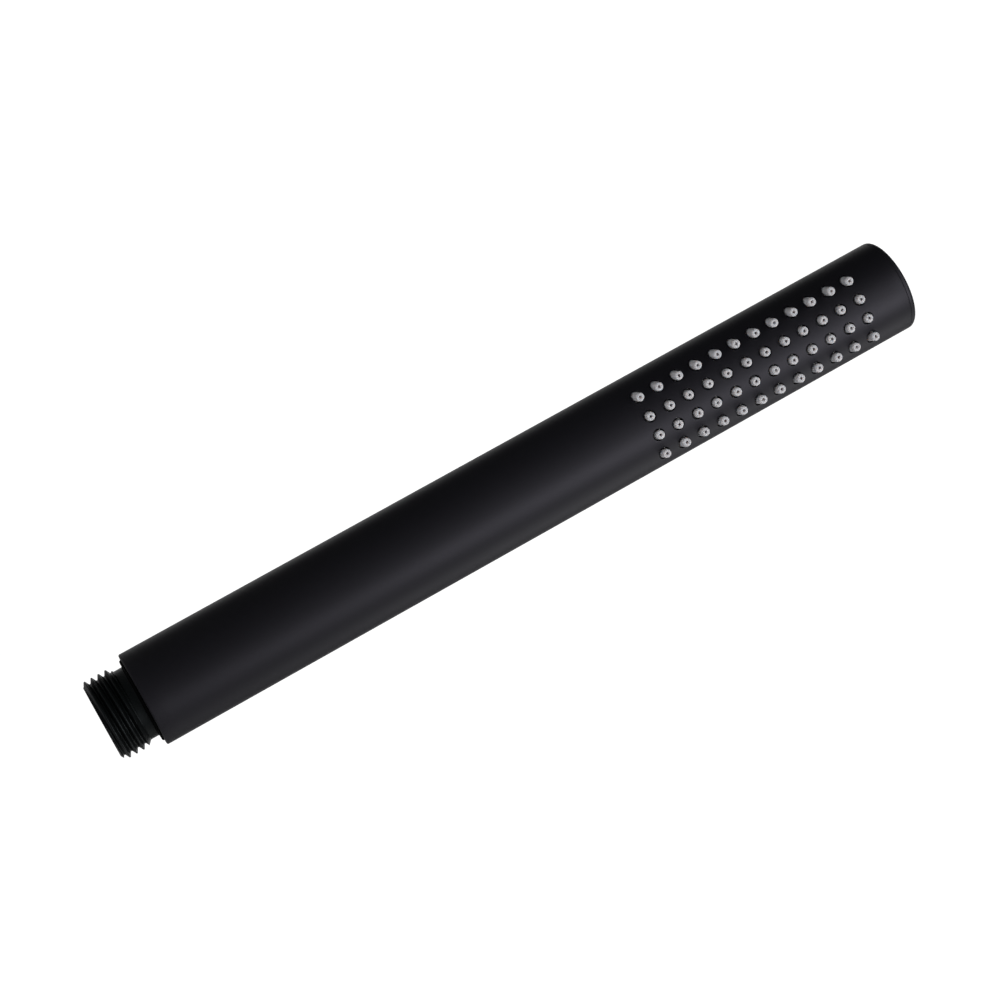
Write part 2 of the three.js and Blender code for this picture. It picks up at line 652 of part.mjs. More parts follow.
// One nozzle: a round post that tapers to its tip and is fanned a little along Z.
function nozzle({ x, z, fan }) {
  const length = tipHeight(x) - MAT_DEPTH;
  const outline = [[0, MAT_THICKNESS / 2], [NOZZLE_BASE_RADIUS, MAT_THICKNESS / 2],
    [NOZZLE_TIP_RADIUS, length], [0, length]];
  const stem = new THREE.LatheGeometry(outline.map((p) => new THREE.Vector2(...p)), NOZZLE_SIDES);
  const jet = new THREE.CylinderGeometry(JET_RADIUS, JET_RADIUS, length + 2, JET_SIDES);
  jet.translate(0, length / 2, 0);
  const place = (geometry) => toSolid(geometry.rotateX(Math.PI + fan * NOZZLE_FAN_ANGLE)
    .translate(x, -MAT_DEPTH, z));
  return { stem: place(stem), jet: place(jet) };
}

function nozzleMat() {
  const half = chordAt(MAT_DEPTH + MAT_THICKNESS);
  const sheet = block([-half, -MAT_DEPTH - MAT_THICKNESS, MAT_START], [half, -MAT_DEPTH, MAT_END]);
  const nozzles = nozzlePlaces().map(nozzle);
  const stems = wasm.Manifold.union(nozzles.map(({ stem }) => stem));
  const jets = wasm.Manifold.union(nozzles.map(({ jet }) => jet));
  return sheet.add(stems).subtract(jets);
}

// Rigid segment between the mat and the tube that holds the nozzles upright.
function nozzleGuide() {
  const backDepth = MAT_DEPTH + MAT_THICKNESS + CLEARANCE;
  const half = chordAt(backDepth) - GUIDE_PLATE_INSET;
  const segment = ring(0, FIT_RADIUS, MAT_START, MAT_END, ROUND_SEGMENTS)
    .intersect(block([-half, -FIT_RADIUS - 1, MAT_START - 1], [half, -backDepth, MAT_END + 1]));
  return segment.subtract(nozzleBars(NOZZLE_HOLE_RADIUS, MAT_DEPTH, TUBE_RADIUS, GUIDE_HOLE_SIDES));
}

// ---- Assembly ----

const handShower = new THREE.Group();
handShower.add(
  toMesh('outer_tube', outerTube(), BLACK_METAL),
  toMesh('end_cap', endCap(), BLACK_METAL),
  toMesh('end_cap_o_ring', oRing(CAP_JOINT), RUBBER),
  toMesh('nozzle_mat', nozzleMat(), SILICONE),
  toMesh('nozzle_guide', nozzleGuide(), WHITE_PLASTIC),
  toMesh('spray_core', sprayCore(), WHITE_PLASTIC),
  toMesh('spray_core_o_ring', oRing(CORE_JOINT), RUBBER),
  toMesh('pipe_upper_o_ring', oRing(UPPER_PIPE_JOINT), RUBBER),
  toMesh('water_pipe', waterPipe(), WHITE_PLASTIC),
  toMesh('pipe_upper_spacer', pipeSpacer(spacerMiddle(2 / 3)), GREY_PLASTIC),
  toMesh('pipe_lower_spacer', pipeSpacer(spacerMiddle(1 / 3)), GREY_PLASTIC),
  toMesh('pipe_lower_o_ring', oRing(LOWER_PIPE_JOINT), RUBBER),
  toMesh('inlet_connector', inletConnector(), BLACK_METAL),
  toMesh('connector_o_ring', oRing(PLUG_JOINT), RUBBER),
  toMesh('cartridge_ring', cartridgeRing(), STEEL),
  toMesh('strainer_frame', strainerFrame(), GREY_PLASTIC),
  toMesh('strainer_screen', strainerScreen(), STEEL),
  toMesh('flow_regulator_body', regulatorBody(), BLUE_PLASTIC),
  toMesh('flow_regulator_ring', regulatorRing(), RUBBER),
  toMesh('valve_body', valveBody(), WHITE_PLASTIC),
  toMesh('valve_o_ring', oRing(VALVE_JOINT), RUBBER),
  toMesh('valve_poppet', valvePoppet(), BLUE_PLASTIC),
  toMesh('valve_seal', valveSeal(), RUBBER),
  toMesh('valve_spring', valveSpring(), STEEL),
  toMesh('valve_guide', valveGuide(), GREY_PLASTIC),
);

export default handShower;
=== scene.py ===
"""Looks of a straight stick hand shower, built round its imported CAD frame.

The frame holds the places and sizes. Every shape here is a numpy surface in millimetres, in the
frame's own axes: +Z up the tube, -Y the way the nozzles spray, +X across the nozzle rows.
"""

import json
import logging
import math
from dataclasses import dataclass, field
from enum import Enum
from typing import Sequence

import bmesh
import bpy
import numpy as np
from mathutils import Matrix, Vector


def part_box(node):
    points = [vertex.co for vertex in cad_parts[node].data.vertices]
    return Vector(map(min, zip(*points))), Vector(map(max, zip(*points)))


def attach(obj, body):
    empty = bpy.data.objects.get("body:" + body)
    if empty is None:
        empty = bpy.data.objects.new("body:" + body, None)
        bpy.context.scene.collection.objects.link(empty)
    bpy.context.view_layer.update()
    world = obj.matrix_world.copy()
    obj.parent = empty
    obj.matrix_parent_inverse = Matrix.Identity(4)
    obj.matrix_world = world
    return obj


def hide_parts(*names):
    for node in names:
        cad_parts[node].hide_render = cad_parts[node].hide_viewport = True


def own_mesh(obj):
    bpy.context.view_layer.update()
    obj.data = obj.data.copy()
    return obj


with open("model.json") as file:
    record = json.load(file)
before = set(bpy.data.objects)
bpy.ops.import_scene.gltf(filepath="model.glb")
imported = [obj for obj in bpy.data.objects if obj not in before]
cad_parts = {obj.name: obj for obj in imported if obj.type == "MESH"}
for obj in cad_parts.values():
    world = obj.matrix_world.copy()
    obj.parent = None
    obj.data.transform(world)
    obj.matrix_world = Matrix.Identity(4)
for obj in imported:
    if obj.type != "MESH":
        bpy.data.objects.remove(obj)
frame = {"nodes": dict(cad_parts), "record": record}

LOG = logging.getLogger("hand_shower")
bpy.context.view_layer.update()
MM = 0.001
MERGE_DISTANCE = 2e-7
SHARP_ANGLE = math.radians(35)
FULL_TURN = 2 * math.pi
# Rounding of turned edges, in millimetres, from the finest to the fullest.
HAIR, CRISP, FINE, SMALL, SLIGHT, SOFT, MILD, BROAD, WIDE, FULL = (
    0.04, 0.05, 0.08, 0.1, 0.15, 0.2, 0.25, 0.3, 0.35, 0.4)
Corner = tuple[float, float, float]


class Body(Enum):
    """The CAD bodies that pieces ride on."""

    HANDSET = "handset"
    POPPET = "poppet"


class Slot(Enum):
    """The record's material slots."""

    BLACK_METAL = "black_metal"
    SILICONE = "silicone"
    WHITE_PLASTIC = "white_plastic"
    GREY_PLASTIC = "grey_plastic"
    BLUE_PLASTIC = "blue_plastic"
    SEAL_RUBBER = "seal_rubber"
    STEEL = "stainless_steel"


def placed(name: str, data: bpy.types.ID) -> bpy.types.Object:
    """Makes an object of some data and links it to the scene.

    Args:
        name: the object's name.
        data: its mesh, lamp or camera.

    Returns:
        The object, at the origin.
    """
    made = bpy.data.objects.new(name, data)
    bpy.context.scene.collection.objects.link(made)
    return made


def direction(azimuth: float, elevation: float) -> Vector:
    """Unit vector at an azimuth from -Y towards +X and an elevation above the floor.

    Args:
        azimuth: degrees round the Z axis.
        elevation: degrees above the XY plane.

    Returns:
        The vector (sin a cos e, -cos a cos e, sin e).
    """
    turn, rise = math.radians(azimuth), math.radians(elevation)
    return Vector((math.sin(turn) * math.cos(rise), -math.cos(turn) * math.cos(rise), math.sin(rise)))


# ---- Surfaces ----


class Surface:
    """A closed surface gathered from grids of points, in millimetres."""

    def __init__(self) -> None:
        """Starts with no grids."""
        self.points: list[np.ndarray] = []
        self.quads: list[np.ndarray] = []
        self.count = 0

    def add_grid(self, grid: np.ndarray, wrap_rows: bool = False, wrap_columns: bool = False) -> None:
        """Adds a grid of points, or a stack of such grids, with a quad between each four neighbours.

        Args:
            grid: points of shape (..., rows, columns, 3).
            wrap_rows: whether the last row joins the first.
            wrap_columns: whether each row closes on itself.
        """
        rows, columns = grid.shape[-3:-1]
        row = np.arange(rows if wrap_rows else rows - 1)[:, None]
        column = np.arange(columns if wrap_columns else columns - 1)[None, :]
        next_row, next_column = (row + 1) % rows, (column + 1) % columns
        corners = (row * columns + column, row * columns + next_column,
                   next_row * columns + next_column, next_row * columns + column)
        quads = np.stack(np.broadcast_arrays(*corners), axis=-1).reshape(-1, 4)
        flat = grid.reshape(-1, 3)
        starts = np.arange(0, len(flat), rows * columns)[:, None, None]
        self.points.append(flat)
        self.quads.append((quads[None] + starts + self.count).reshape(-1, 4))
        self.count += len(flat)

    def to_object(self, name: str) -> bpy.types.Object:
        """Makes the mesh object: merges the grids' shared edges and turns the faces outwards.

        Args:
            name: the object's name.

        Returns:
            The object, linked to the scene, at the origin.
        """
        points = np.concatenate(self.points) * MM
        quads = np.concatenate(self.quads)
        mesh = bpy.data.meshes.new(name)
        mesh.vertices.add(len(points))
        mesh.vertices.foreach_set("co", points.ravel())
        mesh.loops.add(quads.size)
        mesh.loops.foreach_set("vertex_index", quads.ravel())
        mesh.polygons.add(len(quads))
        mesh.polygons.foreach_set("loop_start", np.arange(0, quads.size, 4))
        mesh.update(calc_edges=True)
        shape = bmesh.new()
        shape.from_mesh(mesh)
        bmesh.ops.remove_doubles(shape, verts=shape.verts, dist=MERGE_DISTANCE)
        bmesh.ops.dissolve_degenerate(shape, edges=shape.edges, dist=MERGE_DISTANCE)
        bmesh.ops.recalc_face_normals(shape, faces=shape.faces)
        shape.to_mesh(mesh)
        shape.free()
        mesh.shade_smooth()
        mesh.set_sharp_from_angle(angle=SHARP_ANGLE)
        return placed(name, mesh)


def circle(count: int) -> np.ndarray:
    """Angles once round a circle in even steps, from 0."""
    return np.arange(count) * FULL_TURN / count


def around(radius: np.ndarray, angle: np.ndarray, height: np.ndarray) -> np.ndarray:
    """Points at a radius, an angle from -Y towards +X, and a height: (r sin a, -r cos a, z).

    Args:
        radius: distances from the axis.
        angle: angles in radians.
        height: heights.

    Returns:
        The points, of the three arguments' common shape with a last axis of 3.
    """
    radius, angle, height = np.broadcast_arrays(radius, angle, height)
    return np.stack([radius * np.sin(angle), -radius * np.cos(angle), height], axis=-1)


def capped(grid: np.ndarray) -> np.ndarray:
    """Closes a wire's ends: each gets one more row, drawn in to the end's middle.

    Args:
        grid: the wire's points.

    Returns:
        The same points between the two new rows.
    """
    ends = [np.broadcast_to(row.mean(axis=0), row.shape)[None] for row in (grid[0], grid[-1])]
    return np.concatenate([ends[0], grid, ends[1]])


def groove(wall: float, bottom: float, start: float, end: float, fillet: float) -> list[Corner]:
    """Corners of a square groove, from the wall at one height to the wall at the other.

    Args:
        wall: radius of the wall.
        bottom: radius of the groove's bottom.
        start: height where the outline enters the groove.
        end: height where it leaves.
        fillet: rounding of the four corners.

    Returns:
        The four corners.
    """
    return [(wall, start, fillet), (bottom, start, fillet), (bottom, end, fillet), (wall, end, fillet)]


def rounded(corners: Sequence[Corner], steps: int = 5, closed: bool = True) -> np.ndarray:
    """Outline through corners, each rounded by an arc of its own radius.

    The arc touches both edges at radius / tan(half the corner's angle) from the corner, and its
    points turn evenly about its centre from one touching point to the other.

    Args:
        corners: (radius, height, fillet) for each corner.
        steps: pieces in each arc.
        closed: whether the last corner joins the first.

    Returns:
        The outline's (radius, height) points.
    """
    places = [np.array(corner[:2], float) for corner in corners]
    outline = []
    for number, (*_, fillet) in enumerate(corners):
        here = places[number]
        inside = closed or 0 < number < len(corners) - 1
        if fillet <= 0 or not inside:
            outline.append(here[None])
            continue
        before = places[number - 1] - here
        after = places[(number + 1) % len(places)] - here
        before, after = before / np.linalg.norm(before), after / np.linalg.norm(after)
        half = math.acos(max(-1.0, min(1.0, float(before @ after)))) / 2
        middle = before + after
        centre = here + middle / np.linalg.norm(middle) * fillet / math.sin(half)
        first = here + before * fillet / math.tan(half) - centre
        last = here + after * fillet / math.tan(half) - centre
        sweep = math.pi - 2 * half
        share = np.linspace(0, 1, steps + 1)[:, None]
        arc = np.sin((1 - share) * sweep) * first + np.sin(share * sweep) * last
        outline.append(centre + arc / math.sin(sweep))
    return np.concatenate(outline)


def subdivided(outline: np.ndarray, longest: float, closed: bool = True) -> np.ndarray:
    """The same outline with points added so that no step is longer than a length.

    Args:
        outline: (radius, height) points.
        longest: the longest step.
        closed: whether the last point joins the first.

    Returns:
        The denser outline.
    """
    ends = np.roll(outline, -1, axis=0) if closed else outline[1:]
    starts = outline[: len(ends)]
    pieces = []
    for start, end in zip(starts, ends):
        count = max(1, math.ceil(float(np.linalg.norm(end - start)) / longest))
        share = np.arange(count)[:, None] / count
        pieces.append(start + share * (end - start))
    if not closed:
        pieces.append(outline[-1:])
    return np.concatenate(pieces)


def turned(name: str, outline: np.ndarray, segments: int) -> bpy.types.Object:
    """A round piece: each point of a closed outline is carried once round the Z axis.

    Args:
        name: the piece's name.
        outline: (radius, height) points.
        segments: points in the circle.

    Returns:
        The piece.
    """
    surface = Surface()
    grid = around(outline[:, :1], circle(segments)[None], outline[:, 1:])
    surface.add_grid(grid, wrap_rows=True, wrap_columns=True)
    return surface.to_object(name)


@dataclass
class Extent:
    """Where a CAD node lies, in millimetres: its reach from the axis, its two ends and middle."""

    node: str
    reach: float = field(init=False)
    low: float = field(init=False)
    high: float = field(init=False)
    middle: float = field(init=False)

    def __post_init__(self) -> None:
        """Reads the node's box."""
        lowest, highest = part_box(self.node)
        self.reach = float(highest[0]) / MM
        self.low = float(lowest[2]) / MM
        self.high = float(highest[2]) / MM
        self.middle = (self.low + self.high) / 2


# ---- Shared shader effects ----


class Effect(Enum):
    """The shader node groups that several finishes share."""

    GRAIN = "fine_grain"
    HANDLING = "handling_marks"
    TURNING = "turning_marks"


class ShaderTree:
    """Small helper that places and wires the nodes of one tree."""

    def __init__(self, tree: bpy.types.NodeTree) -> None:
        """Keeps the tree.

        Args:
            tree: the node tree to work in.
        """
        self.tree = tree

    def add(self, kind: str, **settings: object) -> bpy.types.Node:
        """Adds a node and sets its properties.

        Args:
            kind: the node's type name.
            **settings: properties of the node.

        Returns:
            The node.
        """
        node = self.tree.nodes.new(kind)
        for name, value in settings.items():
            setattr(node, name, value)
        return node

    def link(self, start: bpy.types.NodeSocket, end: bpy.types.NodeSocket) -> None:
        """Wires one socket to another."""
        self.tree.links.new(start, end)

    def math(self, operation: str, first: object, second: object = 0.0) -> bpy.types.NodeSocket:
        """A Math node of two values.

        Args:
            operation: the node's operation.
            first: a number or a socket.
            second: a number or a socket.

        Returns:
            The result's socket.
        """
        node = self.add("ShaderNodeMath", operation=operation)
        for socket, value in zip(node.inputs, (first, second)):
            if isinstance(value, bpy.types.NodeSocket):
                self.link(value, socket)
            else:
                socket.default_value = value
        return node.outputs[0]

    def noise(self, place: bpy.types.NodeSocket, scale: bpy.types.NodeSocket, dimensions: str = "3D",
              **amounts: float) -> bpy.types.NodeSocket:
        """A Noise Texture node.

        Args:
            place: the coordinates, or the one coordinate of a 1D noise.
            scale: the scale's socket.
            dimensions: the node's noise dimensions.
            **amounts: values of its other inputs, such as Detail.

        Returns:
            The noise's value.
        """
        node = self.add("ShaderNodeTexNoise", noise_dimensions=dimensions)
        for name, amount in amounts.items():
            node.inputs[name].default_value = amount
        self.link(place, node.inputs["W" if dimensions == "1D" else "Vector"])
        self.link(scale, node.inputs["Scale"])
        return node.outputs["Fac"]

    def spread(self, value: bpy.types.NodeSocket, low: float, high: float) -> bpy.types.NodeSocket:
        """Maps a mask from 0 to 1 onto a range.

        Args:
            value: the mask.
            low: the result at 0.
            high: the result at 1.

        Returns:
            The result's socket.
        """
        node = self.add("ShaderNodeMapRange")
        node.inputs["To Min"].default_value = low
        node.inputs["To Max"].default_value = high
        self.link(value, node.inputs["Value"])
        return node.outputs["Result"]


class EffectLibrary:
    """Builds each shared effect once, as a node group that puts out a mask and a height."""

    def __init__(self) -> None:
        """Starts with no groups built."""
        self.groups: dict[Effect, bpy.types.NodeTree] = {}

    def get(self, effect: Effect) -> bpy.types.NodeTree:
        """Returns an effect's group, and builds it the first time.

        Args:
            effect: which effect.

        Returns:
            The node group.
        """
        if effect not in self.groups:
            builders = {
                Effect.GRAIN: self._grain,
                Effect.HANDLING: self._handling,
                Effect.TURNING: self._turning,
            }
            self.groups[effect] = builders[effect]()
        return self.groups[effect]

    @staticmethod
    def _start(effect: Effect) -> tuple[ShaderTree, bpy.types.Node, bpy.types.Node]:
        """Starts a group with Vector and Scale inputs, and Mask and Height outputs.

        Args:
            effect: which effect, whose value names the group.

        Returns:
            The group's tree, its input node and its output node.
        """
        group = bpy.data.node_groups.new(effect.value, "ShaderNodeTree")
        group.interface.new_socket("Vector", in_out="INPUT", socket_type="NodeSocketVector")
        for name, side in (("Scale", "INPUT"), ("Mask", "OUTPUT"), ("Height", "OUTPUT")):
            group.interface.new_socket(name, in_out=side, socket_type="NodeSocketFloat")
        tree = ShaderTree(group)
        return tree, tree.add("NodeGroupInput"), tree.add("NodeGroupOutput")

    def _grain(self) -> bpy.types.NodeTree:
        """Powder and mould grain: fine noise for the height, and a coarser one for the mask.

        Returns:
            The node group.
        """
        coarse_scale, coarse_share = 0.22, 0.6
        tree, start, end = self._start(Effect.GRAIN)
        place, scale = start.outputs["Vector"], start.outputs["Scale"]
        fine = tree.noise(place, scale, Detail=3.0)
        coarse = tree.noise(place, tree.math("MULTIPLY", scale, coarse_scale), Detail=4.0)
        height = tree.math("ADD", tree.math("MULTIPLY", coarse, coarse_share), fine)
        tree.link(height, end.inputs["Height"])
        tree.link(coarse, end.inputs["Mask"])
        return tree.tree

    def _handling(self) -> bpy.types.NodeTree:
        """Where hands and water have passed: broad soft patches, drawn out along the tube.

        Returns:
            The node group.
        """
        squeeze, contrast = 0.35, 2.0
        tree, start, end = self._start(Effect.HANDLING)
        stretch = tree.add("ShaderNodeMapping")
        stretch.inputs["Scale"].default_value = (1.0, 1.0, squeeze)
        tree.link(start.outputs["Vector"], stretch.inputs["Vector"])
        broad = tree.noise(stretch.outputs["Vector"], start.outputs["Scale"],
                           Detail=5.0, Roughness=0.62, Distortion=0.6)
        tree.link(tree.spread(broad, (1 - contrast) / 2, (1 + contrast) / 2), end.inputs["Mask"])
        tree.link(broad, end.inputs["Height"])
        return tree.tree

    def _turning(self) -> bpy.types.NodeTree:
        """Lathe marks: noise that changes with height and with distance from the axis only.

        Returns:
            The node group.
        """
        tree, start, end = self._start(Effect.TURNING)
        split = tree.add("ShaderNodeSeparateXYZ")
        tree.link(start.outputs["Vector"], split.inputs["Vector"])
        across = tree.math("MULTIPLY", split.outputs["X"], split.outputs["X"])
        deep = tree.math("MULTIPLY", split.outputs["Y"], split.outputs["Y"])
        distance = tree.math("SQRT", tree.math("ADD", across, deep))
        path = tree.math("ADD", distance, split.outputs["Z"])
        marks = tree.noise(path, start.outputs["Scale"], "1D", Detail=2.0)
        for output in ("Height", "Mask"):
            tree.link(marks, end.inputs[output])
        return tree.tree


EFFECTS = EffectLibrary()
HANDLING_SCALE = 40.0
HANDLING_SHARE = 0.7
SUBSURFACE_TINT = (1.0, 0.9, 0.85)


@dataclass(frozen=True)
class Finish:
    """A material: a base colour and roughness that vary with grain, handling and lathe marks.

    Lengths are millimetres. Depths are how far the bump stands.
    """

    name: str
    slot: Slot
    colour: tuple[float, float, float]
    shade: float = 0.1
    roughness: float = 0.5
    roughness_spread: float = 0.08
    metallic: float = 0.0
    specular: float = 0.5
    specular_tint: tuple[float, float, float] = (1.0, 1.0, 1.0)
    grain_per_mm: float = 5.0
    grain_depth: float = 0.004
    turning_per_mm: float = 6.0
    turning_depth: float = 0.0
    subsurface: float = 0.0
    subsurface_radius: float = 1.0

    def material(self) -> bpy.types.Material:
        """Builds the finish, or returns it if it exists.

        Returns:
            The material.
        """
        known = bpy.data.materials.get(self.name)
        if known:
            return known
        material = bpy.data.materials.new(self.name)
        material.use_nodes = True
        tree = ShaderTree(material.node_tree)
        shader = material.node_tree.nodes["Principled BSDF"]
        place = tree.add("ShaderNodeTexCoord").outputs["Object"]
        grain = self._effect(tree, Effect.GRAIN, place, self.grain_per_mm / MM)
        handling = self._effect(tree, Effect.HANDLING, place, HANDLING_SCALE)
        turning = self._effect(tree, Effect.TURNING, place, self.turning_per_mm / MM)
        self._wire(tree, shader, grain, handling, turning)
        shader.inputs["Metallic"].default_value = self.metallic
        shader.inputs["Specular IOR Level"].default_value = self.specular
        shader.inputs["Specular Tint"].default_value = self.specular_tint + (1.0,)
        if self.subsurface:
            shader.inputs["Subsurface Weight"].default_value = self.subsurface
            shader.inputs["Subsurface Radius"].default_value = SUBSURFACE_TINT
            shader.inputs["Subsurface Scale"].default_value = self.subsurface_radius * MM
        return material

    @staticmethod
    def _effect(tree: ShaderTree, effect: Effect, place: bpy.types.NodeSocket,
                scale: float) -> bpy.types.Node:
        """Places a shared effect with its own scale.

        Args:
            tree: the material's tree.
            effect: which effect.
            place: the coordinates.
            scale: the effect's scale, per metre.

        Returns:
            The group node.
        """
        node = tree.add("ShaderNodeGroup", node_tree=EFFECTS.get(effect))
        node.inputs["Scale"].default_value = scale
        tree.link(place, node.inputs["Vector"])
        return node

    def _wire(self, tree: ShaderTree, shader: bpy.types.Node, grain: bpy.types.Node,
              handling: bpy.types.Node, turning: bpy.types.Node) -> None:
        """Wires the placed effects to the shader.

        The base colour goes from a darker to a lighter shade of itself with the grain and the handling
        marks. The roughness varies with the handling marks and, a little, with the grain. The bump
        raises the grain and the lathe marks by their depths.

        Args:
            tree: the material's tree.
            shader: its Principled BSDF.
            grain: the placed grain.
            handling: the placed handling marks.
            turning: the placed lathe marks.
        """
        both = tree.math("ADD", grain.outputs["Mask"], handling.outputs["Mask"])
        half = tree.math("MULTIPLY", both, 0.5)
        mix = tree.add("ShaderNodeMix", data_type="RGBA")
        colours = [socket for socket in mix.inputs if socket.type == "RGBA"]
        for socket, share in zip(colours, (1 - self.shade, 1 + self.shade)):
            socket.default_value = tuple(part * share for part in self.colour) + (1.0,)
        tree.link(half, mix.inputs["Factor"])
        result = next(socket for socket in mix.outputs if socket.type == "RGBA")
        tree.link(result, shader.inputs["Base Color"])
        mask = tree.math("ADD", tree.math("MULTIPLY", handling.outputs["Mask"], HANDLING_SHARE),
                         tree.math("MULTIPLY", grain.outputs["Mask"], 1 - HANDLING_SHARE))
        low, high = self.roughness - self.roughness_spread, self.roughness + self.roughness_spread
        tree.link(tree.spread(mask, low, high), shader.inputs["Roughness"])
        height = tree.math("ADD", tree.math("MULTIPLY", grain.outputs["Height"], self.grain_depth),
                           tree.math("MULTIPLY", turning.outputs["Height"], self.turning_depth))
        bump = tree.add("ShaderNodeBump")
        bump.inputs["Distance"].default_value = MM
        tree.link(height, bump.inputs["Height"])
        tree.link(bump.outputs["Normal"], shader.inputs["Normal"])


# Each begins with its name, slot, colour, shade, roughness and roughness_spread.
MATT_BLACK = Finish("matt_black_coat", Slot.BLACK_METAL, (0.002, 0.002, 0.003), 0.2, 0.53, 0.04,
                    specular=0.3, specular_tint=(0.89, 0.86, 1.0))
BLACK_THREAD = Finish("black_plated_thread", Slot.BLACK_METAL, (0.0022, 0.0026, 0.0027), 0.25, 0.42,
                      0.06, specular=0.16, specular_tint=(0.84, 0.95, 1.0), grain_per_mm=4.0,
                      grain_depth=0.003, turning_per_mm=9.0, turning_depth=0.003)
# Painted shade: a darker, duller black for the collar just under the tube, standing in for the shadow in
# that recess.
PAINTED_SHADE_BLACK = Finish("painted_shade_collar", Slot.BLACK_METAL, (0.001, 0.001, 0.0012), 0.2, 0.9, 0.05,
                    specular=0.08, grain_depth=0.003)
SILICONE = Finish("grey_silicone", Slot.SILICONE, (0.43, 0.43, 0.45), 0.05, 0.55, 0.06,
                  specular=0.35, grain_per_mm=6.0, grain_depth=0.002, subsurface=1.0,
                  subsurface_radius=2.0)
WHITE_PLASTIC = Finish("white_acetal", Slot.WHITE_PLASTIC, (0.7, 0.7, 0.66), 0.05, 0.42, 0.06,
                       grain_per_mm=3.0, subsurface=0.1)
GREY_PLASTIC = Finish("grey_moulding", Slot.GREY_PLASTIC, (0.27, 0.28, 0.29), 0.08, 0.48, 0.08,
                      grain_per_mm=3.0, grain_depth=0.005)
BLUE_PLASTIC = Finish("blue_moulding", Slot.BLUE_PLASTIC, (0.05, 0.16, 0.32), 0.08, 0.42, 0.08,
                      grain_per_mm=3.0, grain_depth=0.005)
SEAL_RUBBER = Finish("seal_rubber", Slot.SEAL_RUBBER, (0.012, 0.012, 0.012), 0.15, 0.62, 0.1,
                     grain_depth=0.006)
STEEL = Finish("bright_stainless", Slot.STEEL, (0.55, 0.56, 0.57), 0.06, 0.28, 0.08, metallic=1.0,
               grain_per_mm=8.0, grain_depth=0.001)
SLOT_FINISHES = {finish.slot: finish for finish in
                 (MATT_BLACK, SILICONE, WHITE_PLASTIC, GREY_PLASTIC, BLUE_PLASTIC, SEAL_RUBBER, STEEL)}


def dress(piece: bpy.types.Object, finish: Finish, body: Body, *nodes: str) -> bpy.types.Object:
    """Gives a piece its finish and its place in the frame.

    Args:
        piece: the new piece.
        finish: its material.
        body: the CAD body it rides on.
        *nodes: the CAD nodes it stands for.

    Returns:
        The same piece.
    """
    piece.data.materials.clear()
    piece.data.materials.append(finish.material())
    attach(piece, body.value)
    if nodes:
        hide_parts(*nodes)
    LOG.info("%s: %d faces, %s, on %s", piece.name, len(piece.data.polygons), finish.name, body.value)
    return piece


# ---- Nozzle field ----


@dataclass
class NozzleField:
    """The grid of nozzle places: rows across X and columns along Z."""

    rows: int = 4
    columns: int = 12
    row_pitch: float = 5.12
    column_pitch: float = 5.55
    to_end: float = 13.45
    rays_per_side: int = 8

    def __post_init__(self) -> None:
        """Works out the middles of the nozzles from the closed end of the tube."""
        end = Extent("end_cap").high
        last = end - self.to_end
        row = (np.arange(self.rows) - (self.rows - 1) / 2) * self.row_pitch
        column = last - np.arange(self.columns - 1, -1, -1) * self.column_pitch
        self.x, self.z = (grid.ravel() for grid in np.meshgrid(row, column, indexing="ij"))
        number = np.add.outer(np.arange(self.rows), np.arange(self.columns)).ravel()
        self.fan = np.where(number % 2 == 0, 1.0, -1.0)
        self.half_width = self.rows * self.row_pitch / 2
        self.low = float(column[0]) - self.column_pitch / 2
        self.high = float(column[-1]) + self.column_pitch / 2

    def edges(self, width: float, low: float, high: float) -> tuple[np.ndarray, ...]:
        """Each cell's own sides, where the outermost cells reach a given border.

        Args:
            width: half the width of the whole field.
            low: the lower border's height.
            high: the upper border's height.

        Returns:
            The cells' left, right, lower and upper sides.
        """
        left, right = self.x - self.row_pitch / 2, self.x + self.row_pitch / 2
        under, over = self.z - self.column_pitch / 2, self.z + self.column_pitch / 2
        left = np.where(self.x == self.x.min(), -width, left)
        right = np.where(self.x == self.x.max(), width, right)
        under = np.where(self.z == self.z.min(), low, under)
        over = np.where(self.z == self.z.max(), high, over)
        return left, right, under, over

    def outlines(self, width: float, low: float, high: float) -> np.ndarray:
        """Points round every cell, evenly spaced on each side, from its lower left corner.

        Args:
            width: half the width of the whole field.
            low: the lower border's height.
            high: the upper border's height.

        Returns:
            An array of shape (cells, points, 2) of x and z.
        """
        left, right, under, over = (side[:, None] for side in self.edges(width, low, high))
        share = np.arange(self.rays_per_side)[None] / self.rays_per_side
        still = np.zeros_like(share)
        x = np.concatenate([left + (right - left) * share, right + still,
                            right - (right - left) * share, left + still], axis=1)
        z = np.concatenate([under + still, under + (over - under) * share,
                            over + still, over - (over - under) * share], axis=1)
        return np.stack([x, z], axis=-1)

    def rays(self, outlines: np.ndarray) -> tuple[np.ndarray, np.ndarray]:
        """Each cell's middle, and the unit directions from it to its outline's points.

        Args:
            outlines: the points round every cell.

        Returns:
            The middles and the directions, both as x and z.
        """
        middle = np.stack([self.x, self.z], axis=-1)[:, None]
        away = outlines - middle
        return middle, away / np.linalg.norm(away, axis=-1, keepdims=True)


# ---- Outer tube and end cap ----


